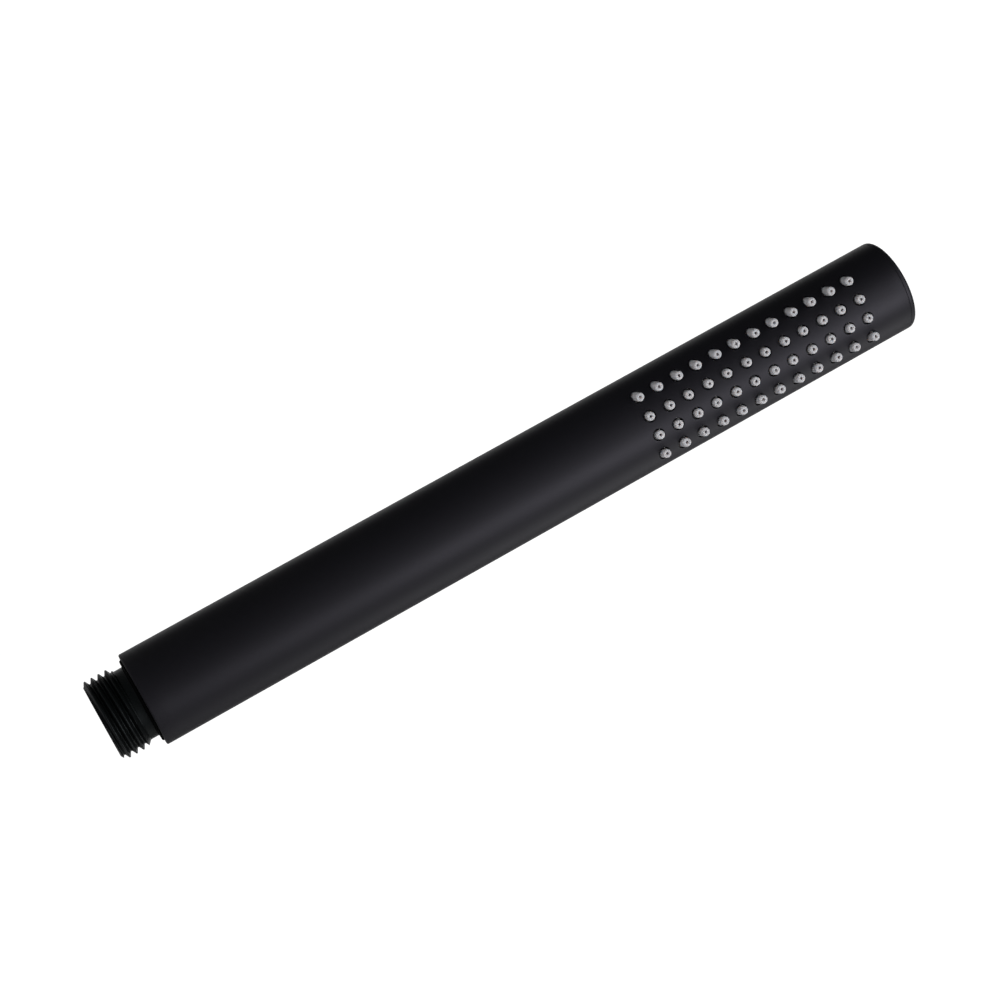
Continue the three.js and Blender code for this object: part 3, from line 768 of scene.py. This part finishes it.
@dataclass
class OuterTube:
    """The straight tube with a round hole for every nozzle, and its rounded end cap."""

    nozzles: NozzleField
    wall: float = 1.6
    hole_radius: float = 1.48
    hole_edge: float = 0.14
    end_edge: float = 0.42
    joint_edge: float = 0.12
    rim_radius: float = 0.95
    cap_spigot: float = 3.85
    cap_stub_radius: float = 3.7
    cap_groove_depth: float = 2.1
    cap_groove_width: float = 2.4
    fit: float = 0.3
    crowding: float = 0.8
    face_rows: int = 6
    edge_rows: int = 4
    back_columns: int = 72
    band_step: float = 4.0
    cap_step: float = 2.0
    cap_arc_steps: int = 8
    cap_segments: int = 160

    def __post_init__(self) -> None:
        """Reads the tube's and the cap's places from the frame."""
        tube = Extent("outer_tube")
        self.radius, self.start, self.end = tube.reach, tube.low, tube.high
        self.bore = self.radius - self.wall
        self.cap = Extent("end_cap")

    @staticmethod
    def depth(radius: float, x: np.ndarray) -> np.ndarray:
        """How far a cylinder's front stands from the XZ plane: the root of r squared less x squared."""
        return np.sqrt(radius**2 - x**2)

    def holes(self) -> np.ndarray:
        """The walls between the holes, as one grid for each cell.

        Each row of a grid runs round the hole. The rows go from the cell's outline inwards on the
        tube's outer face, down the hole's rounded edge and wall, and out again on the inner face.
        On the outer face they stand closer near the hole, at shares raised to the crowding.

        Returns:
            Points of shape (cells, rows, rays, 3).
        """
        cells, edge = self.nozzles, self.hole_edge
        outlines = cells.outlines(cells.half_width, cells.low, cells.high)
        middle, way = cells.rays(outlines)
        share = np.linspace(0, 1, self.face_rows)[:, None, None, None]
        turn = np.linspace(0, math.pi / 2, self.edge_rows + 1)[1:, None, None, None]
        rim, lip = middle + way * (self.hole_radius + edge), middle + way * self.hole_radius
        outer = outlines + (rim - outlines) * share**self.crowding
        bevel = middle + way * (self.hole_radius + edge * (1 - np.sin(turn)))
        inner = lip + (outlines - lip) * share
        face = -self.depth(self.radius, outer[..., 0])
        sunk = -self.depth(self.radius, bevel[..., 0]) + edge * (1 - np.cos(turn[..., 0]))
        back = -self.depth(self.bore, inner[..., 0])
        plan = np.concatenate([outer, bevel, inner])
        grid = np.stack([plan[..., 0], np.concatenate([face, sunk, back]), plan[..., 1]], axis=-1)
        return grid.swapaxes(0, 1)

    def angles(self, radius: np.ndarray) -> np.ndarray:
        """Angles round the tube: the cells' own x places in front, then even steps round the back.

        Args:
            radius: radii, each of which gives a row.

        Returns:
            Angles of shape (rows, columns), without the repeated first column.
        """
        radius = np.asarray(radius, float).reshape(-1, 1)
        cells = self.nozzles
        x = np.linspace(-cells.half_width, cells.half_width, cells.rows * cells.rays_per_side + 1)
        front = np.arcsin(x[None] / radius)
        edge = front[:, -1:]
        share = np.linspace(0, 1, self.back_columns + 1)[None, 1:-1]
        return np.concatenate([front, edge + (FULL_TURN - 2 * edge) * share], axis=1)

    def shell(self) -> bpy.types.Object:
        """The whole tube: the holed front, the plain back, and a band to each end.

        Returns:
            The piece.
        """
        cells = self.nozzles
        surface = Surface()
        surface.add_grid(self.holes(), wrap_columns=True)
        height = np.linspace(cells.low, cells.high, cells.columns * cells.rays_per_side + 1)[:, None]
        front = cells.rows * cells.rays_per_side
        for radius in (self.radius, self.bore):
            angle = self.angles(radius)
            back = np.concatenate([angle[:, front:], angle[:, :1] + FULL_TURN], axis=1)
            surface.add_grid(around(radius, back, height))
        for limit, end, edge in ((cells.low, self.start, self.end_edge),
                                 (cells.high, self.end, self.joint_edge)):
            corners = [(self.radius, limit, 0), (self.radius, end, edge),
                       (self.bore, end, CRISP), (self.bore, limit, 0)]
            outline = subdivided(rounded(corners, closed=False), self.band_step, closed=False)
            grid = around(outline[:, :1], self.angles(outline[:, 0]), outline[:, 1:])
            surface.add_grid(grid, wrap_columns=True)
        return surface.to_object("outer_tube_shell")

    def end_cap(self) -> bpy.types.Object:
        """The cap: a flange with a rounded rim, a grooved spigot in the bore and a stub below it.

        Returns:
            The piece.
        """
        spigot = self.bore - self.fit
        foot = self.end - self.cap_spigot
        middle, half = (foot + self.end) / 2, self.cap_groove_width / 2
        bottom = self.bore - self.cap_groove_depth - self.fit
        stub = self.cap_stub_radius
        corners = [(0, self.cap.low, 0), (stub, self.cap.low, FULL), (stub, foot, SOFT),
                   (spigot, foot, BROAD),
                   *groove(spigot, bottom, middle - half, middle + half, SMALL),
                   (spigot, self.end, 0), (self.radius, self.end, self.joint_edge),
                   (self.radius, self.cap.high, self.rim_radius), (0, self.cap.high, 0)]
        outline = subdivided(rounded(corners, self.cap_arc_steps), self.cap_step)
        return turned("end_cap_turned", outline, self.cap_segments)

    def build(self) -> None:
        """Makes and dresses the tube and its cap."""
        dress(self.shell(), MATT_BLACK, Body.HANDSET, "outer_tube")
        dress(self.end_cap(), MATT_BLACK, Body.HANDSET, "end_cap")


# ---- Nozzle mat ----


@dataclass
class NozzleMat:
    """The silicone moulding: a flat sheet with one long tapered nozzle in each cell."""

    nozzles: NozzleField
    tube: OuterTube
    back_depth: float = 3.9
    thickness: float = 1.0
    side_radii: tuple[float, ...] = (1.12, 1.14, 1.17, 1.2, 1.05)
    side_shares: tuple[float, ...] = (0.85, 0.7, 0.5, 0.3, 0.0)
    tip_radius: float = 1.1
    tip_edge: float = 0.45
    jet_radius: float = 0.35
    jet_shares: tuple[float, ...] = (0.0, 0.4, 0.9)
    jet_edge: float = 0.1
    edge_rows: int = 6
    crown: float = 1.1
    arc_radius: float = 17.6
    fan: float = 0.0113

    def tips(self) -> np.ndarray:
        """Depth of every tip: the tips lie on a flat arc across the rows.

        Returns:
            The depths, in the cells' order.
        """
        middle = self.tube.radius + self.crown - self.arc_radius
        return middle + np.sqrt(self.arc_radius**2 - self.nozzles.x**2)

    def profile(self) -> tuple[np.ndarray, np.ndarray, np.ndarray]:
        """A nozzle's rows from the jet's inner mouth out to the tip and back to the sheet.

        The jet's lip and the tip's edge are quarter circles. The jet's rows before them and the
        side's rows after them lie at shares of the way to the tip.

        Returns:
            For each row its radius, the share of the tip's depth that it takes, and its depth apart
            from that share.
        """
        front = self.back_depth + self.thickness
        turn = np.linspace(0, math.pi / 2, self.edge_rows)
        jet, side = np.array(self.jet_shares), np.array(self.side_shares)
        lip_radius = self.jet_radius + self.jet_edge - self.jet_edge * np.cos(turn)
        lip_drop = -self.jet_edge * (1 - np.sin(turn))
        edge_radius = self.tip_radius - self.tip_edge * (1 - np.sin(turn))
        edge_drop = -self.tip_edge * (1 - np.cos(turn))
        jet_radius = np.full(len(jet), self.jet_radius)
        radius = np.concatenate([jet_radius, lip_radius, edge_radius, self.side_radii])
        share = np.concatenate([jet, np.ones(2 * self.edge_rows), side])
        offset = np.concatenate([(1 - jet) * self.back_depth, lip_drop, edge_drop, (1 - side) * front])
        return radius, share, offset

    def build(self) -> None:
        """Makes and dresses the mat."""
        cells = self.nozzles
        sheet = Extent("nozzle_mat")
        outlines = cells.outlines(sheet.reach, sheet.low, sheet.high)
        middle, way = cells.rays(outlines)
        radius, share, offset = (row[:, None, None] for row in self.profile())
        plan = middle + way * radius[..., None]
        depth = share * self.tips()[None, :, None] + offset
        depth = np.broadcast_to(depth, plan.shape[:-1])
        front = self.back_depth + self.thickness
        plan = np.concatenate([outlines[None], plan, outlines[None]])
        level = np.full((1,) + outlines.shape[:-1], self.back_depth)
        depth = np.concatenate([level, depth, level + self.thickness])
        lean = cells.fan[None, :, None] * math.tan(self.fan) * np.maximum(depth - front, 0)
        grid = np.stack([plan[..., 0], -depth, plan[..., 1] + lean], axis=-1).swapaxes(0, 1)
        surface = Surface()
        surface.add_grid(grid, wrap_columns=True)
        surface.add_grid(self.border(sheet, front), wrap_columns=True)
        dress(surface.to_object("nozzle_mat_moulded"), SILICONE, Body.HANDSET, "nozzle_mat")

    def border(self, sheet: Extent, front: float) -> np.ndarray:
        """The sheet's edge: a band of two rows round the points where the outermost cells end.

        Args:
            sheet: the mat's place.
            front: depth of the sheet's front.

        Returns:
            The band's points.
        """
        cells, count = self.nozzles, self.nozzles.rays_per_side
        left, right, under, over = cells.edges(sheet.reach, sheet.low, sheet.high)
        share = np.arange(count)[None] / count
        across = np.unique(np.stack([left, right], axis=-1), axis=0)
        along = np.unique(np.stack([under, over], axis=-1), axis=0)
        x = (across[:, :1] + (across[:, 1:] - across[:, :1]) * share).ravel()
        z = (along[:, :1] + (along[:, 1:] - along[:, :1]) * share).ravel()
        back_x, back_z = np.append(x[1:], sheet.reach)[::-1], np.append(z[1:], sheet.high)[::-1]
        ring_x = np.concatenate([x, np.full(len(z), sheet.reach), back_x, np.full(len(z), -sheet.reach)])
        ring_z = np.concatenate([np.full(len(x), sheet.low), z, np.full(len(x), sheet.high), back_z])
        depth = np.array([[self.back_depth], [front]])
        return np.stack(np.broadcast_arrays(ring_x[None], -depth, ring_z[None]), axis=-1)


# ---- Inlet connector ----


@dataclass
class InletConnector:
    """The hose connection: threaded mouth, neck, collar, and the plug inside the tube."""

    thread_radius: float = 10.375
    thread_pitch: float = 1.814
    thread_length: float = 8.0
    thread_phase: float = 0.076
    flank_angle: float = math.radians(27.5)
    crest_share: float = 0.137329
    mouth_radius: float = 9.05
    mouth_chamfer: float = 0.8
    neck_radius: float = 9.1
    collar_height: float = 0.5
    plug_fit: float = 0.3
    bore: float = 7.5
    mouth_depth: float = 5.4
    ring_groove_depth: float = 0.6
    ring_groove_height: float = 1.8
    shoulder_start: float = 27.7
    shoulder_end: float = 31.0
    shoulder_radius: float = 4.0
    socket_radius: float = 5.3
    socket_groove_radius: float = 6.9
    socket_groove_middle: float = 38.15
    socket_groove_width: float = 1.9
    plug_groove_radius: float = 8.0
    plug_groove_middle: float = 32.8
    plug_groove_width: float = 2.4
    # How far the painted shade on the collar reaches below the collar and above the tube's start.
    painted_shade_below: float = 0.3
    painted_shade_above: float = 0.05
    thread_step: float = 0.04
    step: float = 2.5
    segments: int = 192

    def thread(self, angle: np.ndarray, height: np.ndarray) -> np.ndarray:
        """Radius of the thread: a 55 degree V whose crest and root are arcs.

        The distance from the nearest crest, along the axis, gives the drop from the crest: an arc
        near the crest, a straight flank, then the same arc turned over at the root.

        Args:
            angle: angles from -Y towards +X.
            height: heights.

        Returns:
            The radii.
        """
        pitch = self.thread_pitch
        arc = self.crest_share * pitch
        turns = (angle - math.pi / 2) / FULL_TURN
        along = (height - self.thread_phase) / pitch - turns
        distance = np.abs(along - np.round(along)) * pitch
        lean = math.pi / 2 - self.flank_angle
        touch = arc * math.sin(lean)
        drop = arc * (1 - math.cos(lean))
        depth = 2 * drop + math.tan(lean) * (pitch / 2 - 2 * touch)
        crest = arc - np.sqrt(np.maximum(arc**2 - distance**2, 0))
        root = depth - arc + np.sqrt(np.maximum(arc**2 - (pitch / 2 - distance) ** 2, 0))
        flank = drop + math.tan(lean) * (distance - touch)
        fall = np.where(distance < touch, crest, np.where(distance > pitch / 2 - touch, root, flank))
        return self.thread_radius - fall

    def envelope(self, height: np.ndarray) -> np.ndarray:
        """Largest radius: a chamfer at the mouth, and 45 degrees where the thread runs out.

        Args:
            height: heights.

        Returns:
            The radii.
        """
        rise = (self.thread_radius - self.mouth_radius) / self.mouth_chamfer
        mouth = self.mouth_radius + height * rise
        return np.minimum(mouth, self.neck_radius + self.thread_length - height)

    def outline(self, tube: OuterTube, top: float) -> tuple[np.ndarray, np.ndarray]:
        """The connector's outline apart from its thread, from above the thread round to the mouth.

        Args:
            tube: the tube that the plug sits in.
            top: height of the plug's end.

        Returns:
            The neck, collar and plug side, then the bore side.
        """
        plug, collar_foot = tube.bore - self.plug_fit, tube.start - self.collar_height
        collar = tube.bore + self.plug_fit
        middle, half = self.plug_groove_middle, self.plug_groove_width / 2
        outside = [(self.neck_radius, self.thread_length, 0), (self.neck_radius, collar_foot, MILD),
                   (collar, collar_foot, FULL), (collar, tube.start, HAIR), (plug, tube.start, CRISP),
                   *groove(plug, self.plug_groove_radius, middle - half, middle + half, SMALL),
                   (plug, top, FULL), (self.socket_radius, top, 0)]
        middle, half = self.socket_groove_middle, self.socket_groove_width / 2
        ring_end = self.mouth_depth + self.ring_groove_height
        inside = [(self.socket_radius, top, 0),
                  *groove(self.socket_radius, self.socket_groove_radius, middle + half, middle - half,
                          SMALL),
                  (self.socket_radius, self.shoulder_end, SMALL),
                  (self.shoulder_radius, self.shoulder_end, SMALL),
                  (self.shoulder_radius, self.shoulder_start, SMALL),
                  (self.bore, self.shoulder_start, SMALL),
                  *groove(self.bore, self.bore + self.ring_groove_depth, ring_end, self.mouth_depth,
                          CRISP),
                  (self.bore, 0, WIDE), (self.mouth_radius, 0, 0)]
        return rounded(outside, closed=False), rounded(inside, closed=False)

    def build(self, tube: OuterTube) -> None:
        """Makes and dresses the connector.

        Args:
            tube: the tube that the plug sits in.
        """
        angle = circle(self.segments)[None]
        rows = round(self.thread_length / self.thread_step) + 1
        height = np.linspace(0, self.thread_length, rows)[:, None]
        radius = np.minimum(self.thread(angle, height), self.envelope(height))
        outside, inside = (subdivided(part, self.step, closed=False)
                           for part in self.outline(tube, Extent("inlet_connector").high))
        surface = Surface()
        grid = np.concatenate([around(radius, angle, height),
                               around(outside[:, :1], angle, outside[:, 1:]),
                               around(inside[:, :1], angle, inside[:, 1:])])
        surface.add_grid(grid, wrap_rows=True, wrap_columns=True)
        piece = surface.to_object("inlet_connector_threaded")
        dress(piece, BLACK_THREAD, Body.HANDSET, "inlet_connector")
        self.paint_collar_shade(piece, tube)

    def paint_collar_shade(self, piece: bpy.types.Object, tube: OuterTube) -> None:
        """Paints shade on the collar's faces, just below the tube: a darker, duller black that stands in
        for the shadow under the tube's end.

        Args:
            piece: the dressed connector.
            tube: the tube above the collar.
        """
        piece.data.materials.append(PAINTED_SHADE_BLACK.material())
        faces = piece.data.polygons
        middle = np.empty(3 * len(faces))
        faces.foreach_get("center", middle)
        middle = middle.reshape(-1, 3) / MM
        reach, height = np.hypot(middle[:, 0], middle[:, 1]), middle[:, 2]
        # Painted shade: faces round the collar between these heights take the darker black.
        low, high = tube.start - self.collar_height - self.painted_shade_below, tube.start + self.painted_shade_above
        collar = (reach > self.neck_radius) & (height > low) & (height < high)
        faces.foreach_set("material_index", collar.astype(np.int32))


# ---- Seals, pipe, strainer and valve ----


@dataclass
class RoundSeal:
    """An O-ring: a circle carried round the axis inside the box of its CAD node."""

    node: str
    section: float
    sides: int = 20
    segments: int = 96

    def build(self) -> None:
        """Makes and dresses the ring."""
        place = Extent(self.node)
        half = self.section / 2
        turn = circle(self.sides)
        radius = place.reach - half + half * np.cos(turn)
        outline = np.stack([radius, place.middle + half * np.sin(turn)], axis=-1)
        ring = turned(f"{self.node}_round", outline, self.segments)
        dress(ring, SEAL_RUBBER, Body.HANDSET, self.node)


@dataclass
class WaterWay:
    """The pipe and the round pieces of the cartridges, turned from their outlines.

    Each outline is a list of (radius, height, fillet) corners, placed by its CAD node's box.
    """

    pipe_wall: float = 1.0
    strainer_rim: float = 0.5
    strainer_seat: float = 1.0
    strainer_ledge: float = 0.8
    valve_wall: float = 1.8
    seat_radius: float = 3.6
    seat_height: float = 1.6
    guide_recess: float = 0.6
    guide_space: float = 2.0
    valve_groove_depth: float = 1.2
    valve_groove_width: float = 1.5
    nose_radius: float = 2.6
    nose_chamfer: float = 0.5
    nose_height: float = 2.3
    disc_height: float = 1.2
    stem_radius: float = 1.2
    seal_inner: float = 2.9
    step: float = 3.0
    segments: int = 96

    def water_pipe(self, pipe: Extent) -> list[Corner]:
        """The pipe, with softened ends."""
        inner = pipe.reach - self.pipe_wall
        return [(inner, pipe.low, SOFT), (pipe.reach, pipe.low, BROAD), (pipe.reach, pipe.high, BROAD),
                (inner, pipe.high, SOFT)]

    def strainer_frame(self, rim: Extent) -> list[Corner]:
        """The strainer's frame: a rim with a ledge for the screen.

        Args:
            rim: the frame's place.

        Returns:
            The corners.
        """
        wall = rim.reach - self.strainer_rim
        ledge = rim.low + self.strainer_ledge
        return [(wall - self.strainer_seat, rim.low, MILD), (rim.reach, rim.low, SLIGHT),
                (rim.reach, rim.high, SMALL), (wall, rim.high, SMALL), (wall, ledge, SMALL),
                (wall - self.strainer_seat, ledge, SLIGHT)]

    def valve_body(self, body: Extent) -> list[Corner]:
        """The valve's body: a seat below, a recess for the guide above, a seal groove.

        Args:
            body: the body's place.

        Returns:
            The corners.
        """
        inner, seat = body.reach - self.valve_wall, body.low + self.seat_height
        recess, shelf = inner + self.guide_recess, body.high - self.guide_space
        low, high = body.middle - self.valve_groove_width / 2, body.middle + self.valve_groove_width / 2
        return [(self.seat_radius, body.low, SOFT), (body.reach, body.low, BROAD),
                *groove(body.reach, body.reach - self.valve_groove_depth, low, high, FINE),
                (body.reach, body.high, BROAD), (recess, body.high, SMALL), (recess, shelf, SMALL),
                (inner, shelf, SMALL), (inner, seat, SOFT), (self.seat_radius, seat, SLIGHT)]

    def valve_poppet(self, poppet: Extent) -> list[Corner]:
        """The poppet: a nose, a disc and a stem.

        Args:
            poppet: the poppet's place.

        Returns:
            The corners.
        """
        disc = poppet.low + self.nose_height
        over = disc + self.disc_height
        nose, stem = self.nose_radius, self.stem_radius
        return [(0, poppet.low, 0), (nose - self.nose_chamfer, poppet.low, SOFT),
                (nose, poppet.low + self.nose_chamfer, SOFT), (nose, disc, SMALL),
                (poppet.reach, disc, SLIGHT), (poppet.reach, over, BROAD), (stem, over, BROAD),
                (stem, poppet.high, BROAD), (0, poppet.high, 0)]

    def valve_seal(self, seal: Extent) -> list[Corner]:
        """The flat seal under the poppet's disc."""
        return [(self.seal_inner, seal.low, SMALL), (seal.reach, seal.low, SLIGHT),
                (seal.reach, seal.high, SLIGHT), (self.seal_inner, seal.high, SMALL)]

    def build(self) -> None:
        """Makes and dresses every turned piece."""
        pieces = ((self.water_pipe, WHITE_PLASTIC, Body.HANDSET),
                  (self.strainer_frame, GREY_PLASTIC, Body.HANDSET),
                  (self.valve_body, WHITE_PLASTIC, Body.HANDSET),
                  (self.valve_poppet, BLUE_PLASTIC, Body.POPPET),
                  (self.valve_seal, SEAL_RUBBER, Body.POPPET))
        for corners, finish, body in pieces:
            node = corners.__name__
            outline = subdivided(rounded(corners(Extent(node))), self.step)
            dress(turned(f"{node}_turned", outline, self.segments), finish, body, node)


@dataclass
class WovenScreen:
    """The strainer's screen: round wires that pass over and under each other in a ring."""

    pitch: float = 0.62
    wire_radius: float = 0.1
    sides: int = 6
    step: float = 0.155
    least_steps: int = 4
    rim_radius: float = 0.22
    rim_flatness: float = 0.9
    rim_sides: int = 12
    rim_segments: int = 96

    def wires(self, reach: float, middle: float) -> list[np.ndarray]:
        """Grids of points for all wires of both directions.

        A wire's height is a wave that swaps sides at each crossing: the wire radius times the
        cosine of the distance along it, with its sign swapped from wire to wire.

        Args:
            reach: radius of the screen.
            middle: height of the screen.

        Returns:
            One grid for each wire.
        """
        count = int((reach - self.pitch / 2) / self.pitch)
        turn = circle(self.sides)[None]
        grids = []
        for number in range(-count, count + 1):
            offset = number * self.pitch
            half = math.sqrt(reach**2 - offset**2) - self.rim_radius
            steps = max(self.least_steps, round(2 * half / self.step))
            along = np.linspace(-half, half, steps)[:, None]
            sign = 1 if number % 2 == 0 else -1
            wave = sign * self.wire_radius * np.cos(math.pi * along / self.pitch)
            run = along + 0 * turn
            side = offset + self.wire_radius * np.cos(turn) + 0 * along
            rise = self.wire_radius * np.sin(turn)
            grids.append(np.stack([run, side, middle + wave + rise], axis=-1))
            grids.append(np.stack([side, run, middle - wave + rise], axis=-1))
        return [capped(grid) for grid in grids]

    def build(self) -> None:
        """Makes and dresses the screen with its rolled rim."""
        place = Extent("strainer_screen")
        surface = Surface()
        for grid in self.wires(place.reach, place.middle):
            surface.add_grid(grid, wrap_columns=True)
        turn = np.linspace(0, FULL_TURN, self.rim_sides + 1)[:-1, None]
        angle = circle(self.rim_segments)[None]
        radius = place.reach - self.rim_radius + self.rim_radius * np.cos(turn)
        rise = self.rim_radius * self.rim_flatness * np.sin(turn)
        surface.add_grid(around(radius, angle, place.middle + rise), wrap_rows=True, wrap_columns=True)
        dress(surface.to_object("strainer_screen_woven"), STEEL, Body.HANDSET, "strainer_screen")


@dataclass
class ValveSpring:
    """The valve's coil spring."""

    wire_radius: float = 0.3
    coil_radius: float = 2.2
    turns: float = 6.0
    closed_turns: float = 1.0
    closed_pitch: float = 2.1
    sides: int = 12
    steps_per_turn: int = 40
    travel: float = 2.5

    def build(self) -> None:
        """Makes and dresses the spring.

        The wire's middle climbs by closed_pitch wire radii over the closed turn at each end, and
        evenly between them. Its section is a circle in the plane through the axis.
        """
        place = Extent("valve_spring")
        low, high = place.low + self.wire_radius, place.high - self.wire_radius
        turn = np.linspace(0, self.turns, round(self.turns * self.steps_per_turn) + 1)
        closed, gap = self.closed_turns, self.closed_pitch * self.wire_radius
        knots = [0, closed, self.turns - closed, self.turns]
        height = np.interp(turn, knots, [low, low + gap, high - gap, high])
        angle = turn[:, None] * FULL_TURN
        section = circle(self.sides)[None]
        radius = self.coil_radius + self.wire_radius * np.cos(section)
        grid = around(radius, angle, height[:, None] + self.wire_radius * np.sin(section))
        surface = Surface()
        surface.add_grid(capped(grid), wrap_columns=True)
        spring = dress(surface.to_object("valve_spring_coiled"), STEEL, Body.HANDSET, "valve_spring")
        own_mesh(spring)


def dress_frame_nodes() -> None:
    """Gives every CAD node that still shows the finish of its material slot."""
    slots = {part["node"]: part["material_slot"] for part in frame["record"]["subparts"]}
    for node, shown in frame["nodes"].items():
        finish = SLOT_FINISHES[Slot(slots[node])]
        shown.data.materials.clear()
        shown.data.materials.append(finish.material())


# ---- Studio ----


@dataclass
class Softbox:
    """A rectangular lamp, itself unseen, that faces a point on the object's axis.

    Angles are in degrees, azimuth from -Y towards +X as for the camera, and lengths in metres.
    """

    name: str
    azimuth: float
    elevation: float
    distance: float
    width: float
    height: float
    power: float
    aim_height: float
    spread: float = 180

    def build(self) -> None:
        """Places the lamp."""
        lamp = bpy.data.lights.new(self.name, "AREA")
        lamp.shape = "RECTANGLE"
        lamp.size, lamp.size_y = self.width, self.height
        lamp.energy = self.power
        lamp.spread = math.radians(self.spread)
        holder = placed(self.name, lamp)
        holder.visible_camera = False
        away = direction(self.azimuth, self.elevation)
        holder.location = Vector((0, 0, self.aim_height)) + away * self.distance
        holder.rotation_euler = away.to_track_quat("Z", "Y").to_euler()


@dataclass
class Studio:
    """The pale floor, the white backdrop, the world and the lamps."""

    floor_drop: float = 0.06
    floor_size: float = 8.0
    backdrop_distance: float = 1.6
    backdrop_left: float = 1.0
    backdrop_right: float = 1.2
    backdrop_height: float = 2.0
    ambient: float = 0.07
    # Each lamp's name, azimuth, elevation, distance, width, height, power and aim height.
    lamps: tuple[Softbox, ...] = (
        Softbox("key_softbox", 34, 19.5, 0.9, 0.3, 0.45, 4.9, 0.17),
        Softbox("side_softbox", 98, 18, 1.0, 0.6, 0.6, 2.3, 0.14),
        Softbox("front_softbox", 0, 42, 0.9, 0.4, 0.4, 2.9, 0.19),
        Softbox("back_softbox", 172, 46, 1.1, 0.6, 0.6, 4.0, 0.12),
        Softbox("low_softbox", -35, -50, 0.28, 0.08, 0.08, 0.012, 0.185, spread=45),
    )

    @staticmethod
    def _white(name: str, albedo: float, glow: float, mirrored: float) -> bpy.types.Material:
        """A pale surface that shows white, lights nothing and is clear from behind.

        Args:
            name: the material's name.
            albedo: its diffuse colour, which takes the shadow.
            glow: the light it adds to what the camera sees of it.
            mirrored: the light it adds to what gloss and glass show of it.

        Returns:
            The material.
        """
        material = bpy.data.materials.new(name)
        material.use_nodes = True
        tree = ShaderTree(material.node_tree)
        shader = material.node_tree.nodes["Principled BSDF"]
        shader.inputs["Base Color"].default_value = (albedo, albedo, albedo, 1)
        shader.inputs["Roughness"].default_value = 1.0
        shader.inputs["Specular IOR Level"].default_value = 0.0
        shader.inputs["Emission Color"].default_value = (1, 1, 1, 1)
        path = tree.add("ShaderNodeLightPath")
        gloss = tree.math("MAXIMUM", path.outputs["Is Glossy Ray"], path.outputs["Is Transmission Ray"])
        direct = tree.math("MULTIPLY", path.outputs["Is Camera Ray"], glow)
        light = tree.math("MAXIMUM", direct, tree.math("MULTIPLY", gloss, mirrored))
        tree.link(light, shader.inputs["Emission Strength"])
        behind = tree.add("ShaderNodeNewGeometry").outputs["Backfacing"]
        tree.link(tree.math("SUBTRACT", 1.0, behind), shader.inputs["Alpha"])
        return material

    @staticmethod
    def _plane(name: str, corners: Sequence[Corner], material: bpy.types.Material) -> None:
        """Makes a staged rectangle.

        Args:
            name: the object's name.
            corners: its four corners, in metres.
            material: its material.
        """
        mesh = bpy.data.meshes.new(name)
        mesh.from_pydata(corners, [], [(0, 1, 2, 3)])
        mesh.materials.append(material)
        made = placed(name, mesh)

    def _world(self) -> None:
        """A dim room that the camera sees as white."""
        world = bpy.data.worlds.new("studio")
        bpy.context.scene.world = world
        world.use_nodes = True
        tree = ShaderTree(world.node_tree)
        background = world.node_tree.nodes["Background"]
        path = tree.add("ShaderNodeLightPath")
        background.inputs["Color"].default_value = (1, 1, 1, 1)
        strength = tree.spread(path.outputs["Is Camera Ray"], self.ambient, 1.0)
        tree.link(strength, background.inputs["Strength"])

    def build(self) -> None:
        """Builds the studio."""
        low, far, high = -self.floor_drop, self.floor_size / 2, self.backdrop_height
        left, right, back = -self.backdrop_left, self.backdrop_right, self.backdrop_distance
        floor = [(-far, -far, low), (far, -far, low), (far, far, low), (-far, far, low)]
        wall = [(left, back, low), (right, back, low), (right, back, high), (left, back, high)]
        self._plane("floor", floor, self._white("floor_white", albedo=0.4, glow=0.97, mirrored=0.1))
        self._plane("backdrop", wall, self._white("backdrop_white", albedo=0.5, glow=1.0, mirrored=0.9))
        self._world()
        for lamp in self.lamps:
            lamp.build()
        bpy.context.scene.view_settings.view_transform = "Standard"


@dataclass
class ViewPoint:
    """The camera: it aims at a point on the axis from below and to the left, rolled over."""

    aim_side: float = -0.0002
    aim_height: float = 0.1085
    distance: float = 0.547
    azimuth: float = -10.9
    elevation: float = -11.1
    roll: float = 60.9
    lens: float = 81.1
    sensor_width: float = 36.0
    clip_start: float = 0.01

    def build(self) -> None:
        """Places the camera and makes it the scene's own."""
        back = direction(self.azimuth, self.elevation)
        level = direction(self.azimuth + 90, 0)
        upright = back.cross(level)
        roll = math.radians(self.roll)
        up = upright * math.cos(roll) - level * math.sin(roll)
        right = up.cross(back)
        data = bpy.data.cameras.new("camera")
        data.lens, data.sensor_width = self.lens, self.sensor_width
        data.clip_start = self.clip_start
        camera = placed("camera", data)
        place = Vector((self.aim_side, 0, self.aim_height)) + back * self.distance
        turn = Matrix((right, up, back)).transposed().to_4x4()
        camera.matrix_world = Matrix.Translation(place) @ turn
        bpy.context.scene.camera = camera


def main() -> None:
    """Builds the camera, the studio and every piece."""
    logging.basicConfig(level=logging.INFO, format="%(message)s")
    ViewPoint().build()
    Studio().build()
    dress_frame_nodes()
    nozzles = NozzleField()
    tube = OuterTube(nozzles)
    tube.build()
    NozzleMat(nozzles, tube).build()
    InletConnector().build(tube)
    WaterWay().build()
    WovenScreen().build()
    ValveSpring().build()
    for node, section in (("end_cap_o_ring", 1.8), ("spray_core_o_ring", 1.8), ("connector_o_ring", 1.8),
                          ("pipe_upper_o_ring", 1.3), ("pipe_lower_o_ring", 1.3), ("valve_o_ring", 0.9),
                          ("flow_regulator_ring", 1.8)):
        RoundSeal(node, section).build()


if __name__ == "__main__":
    main()
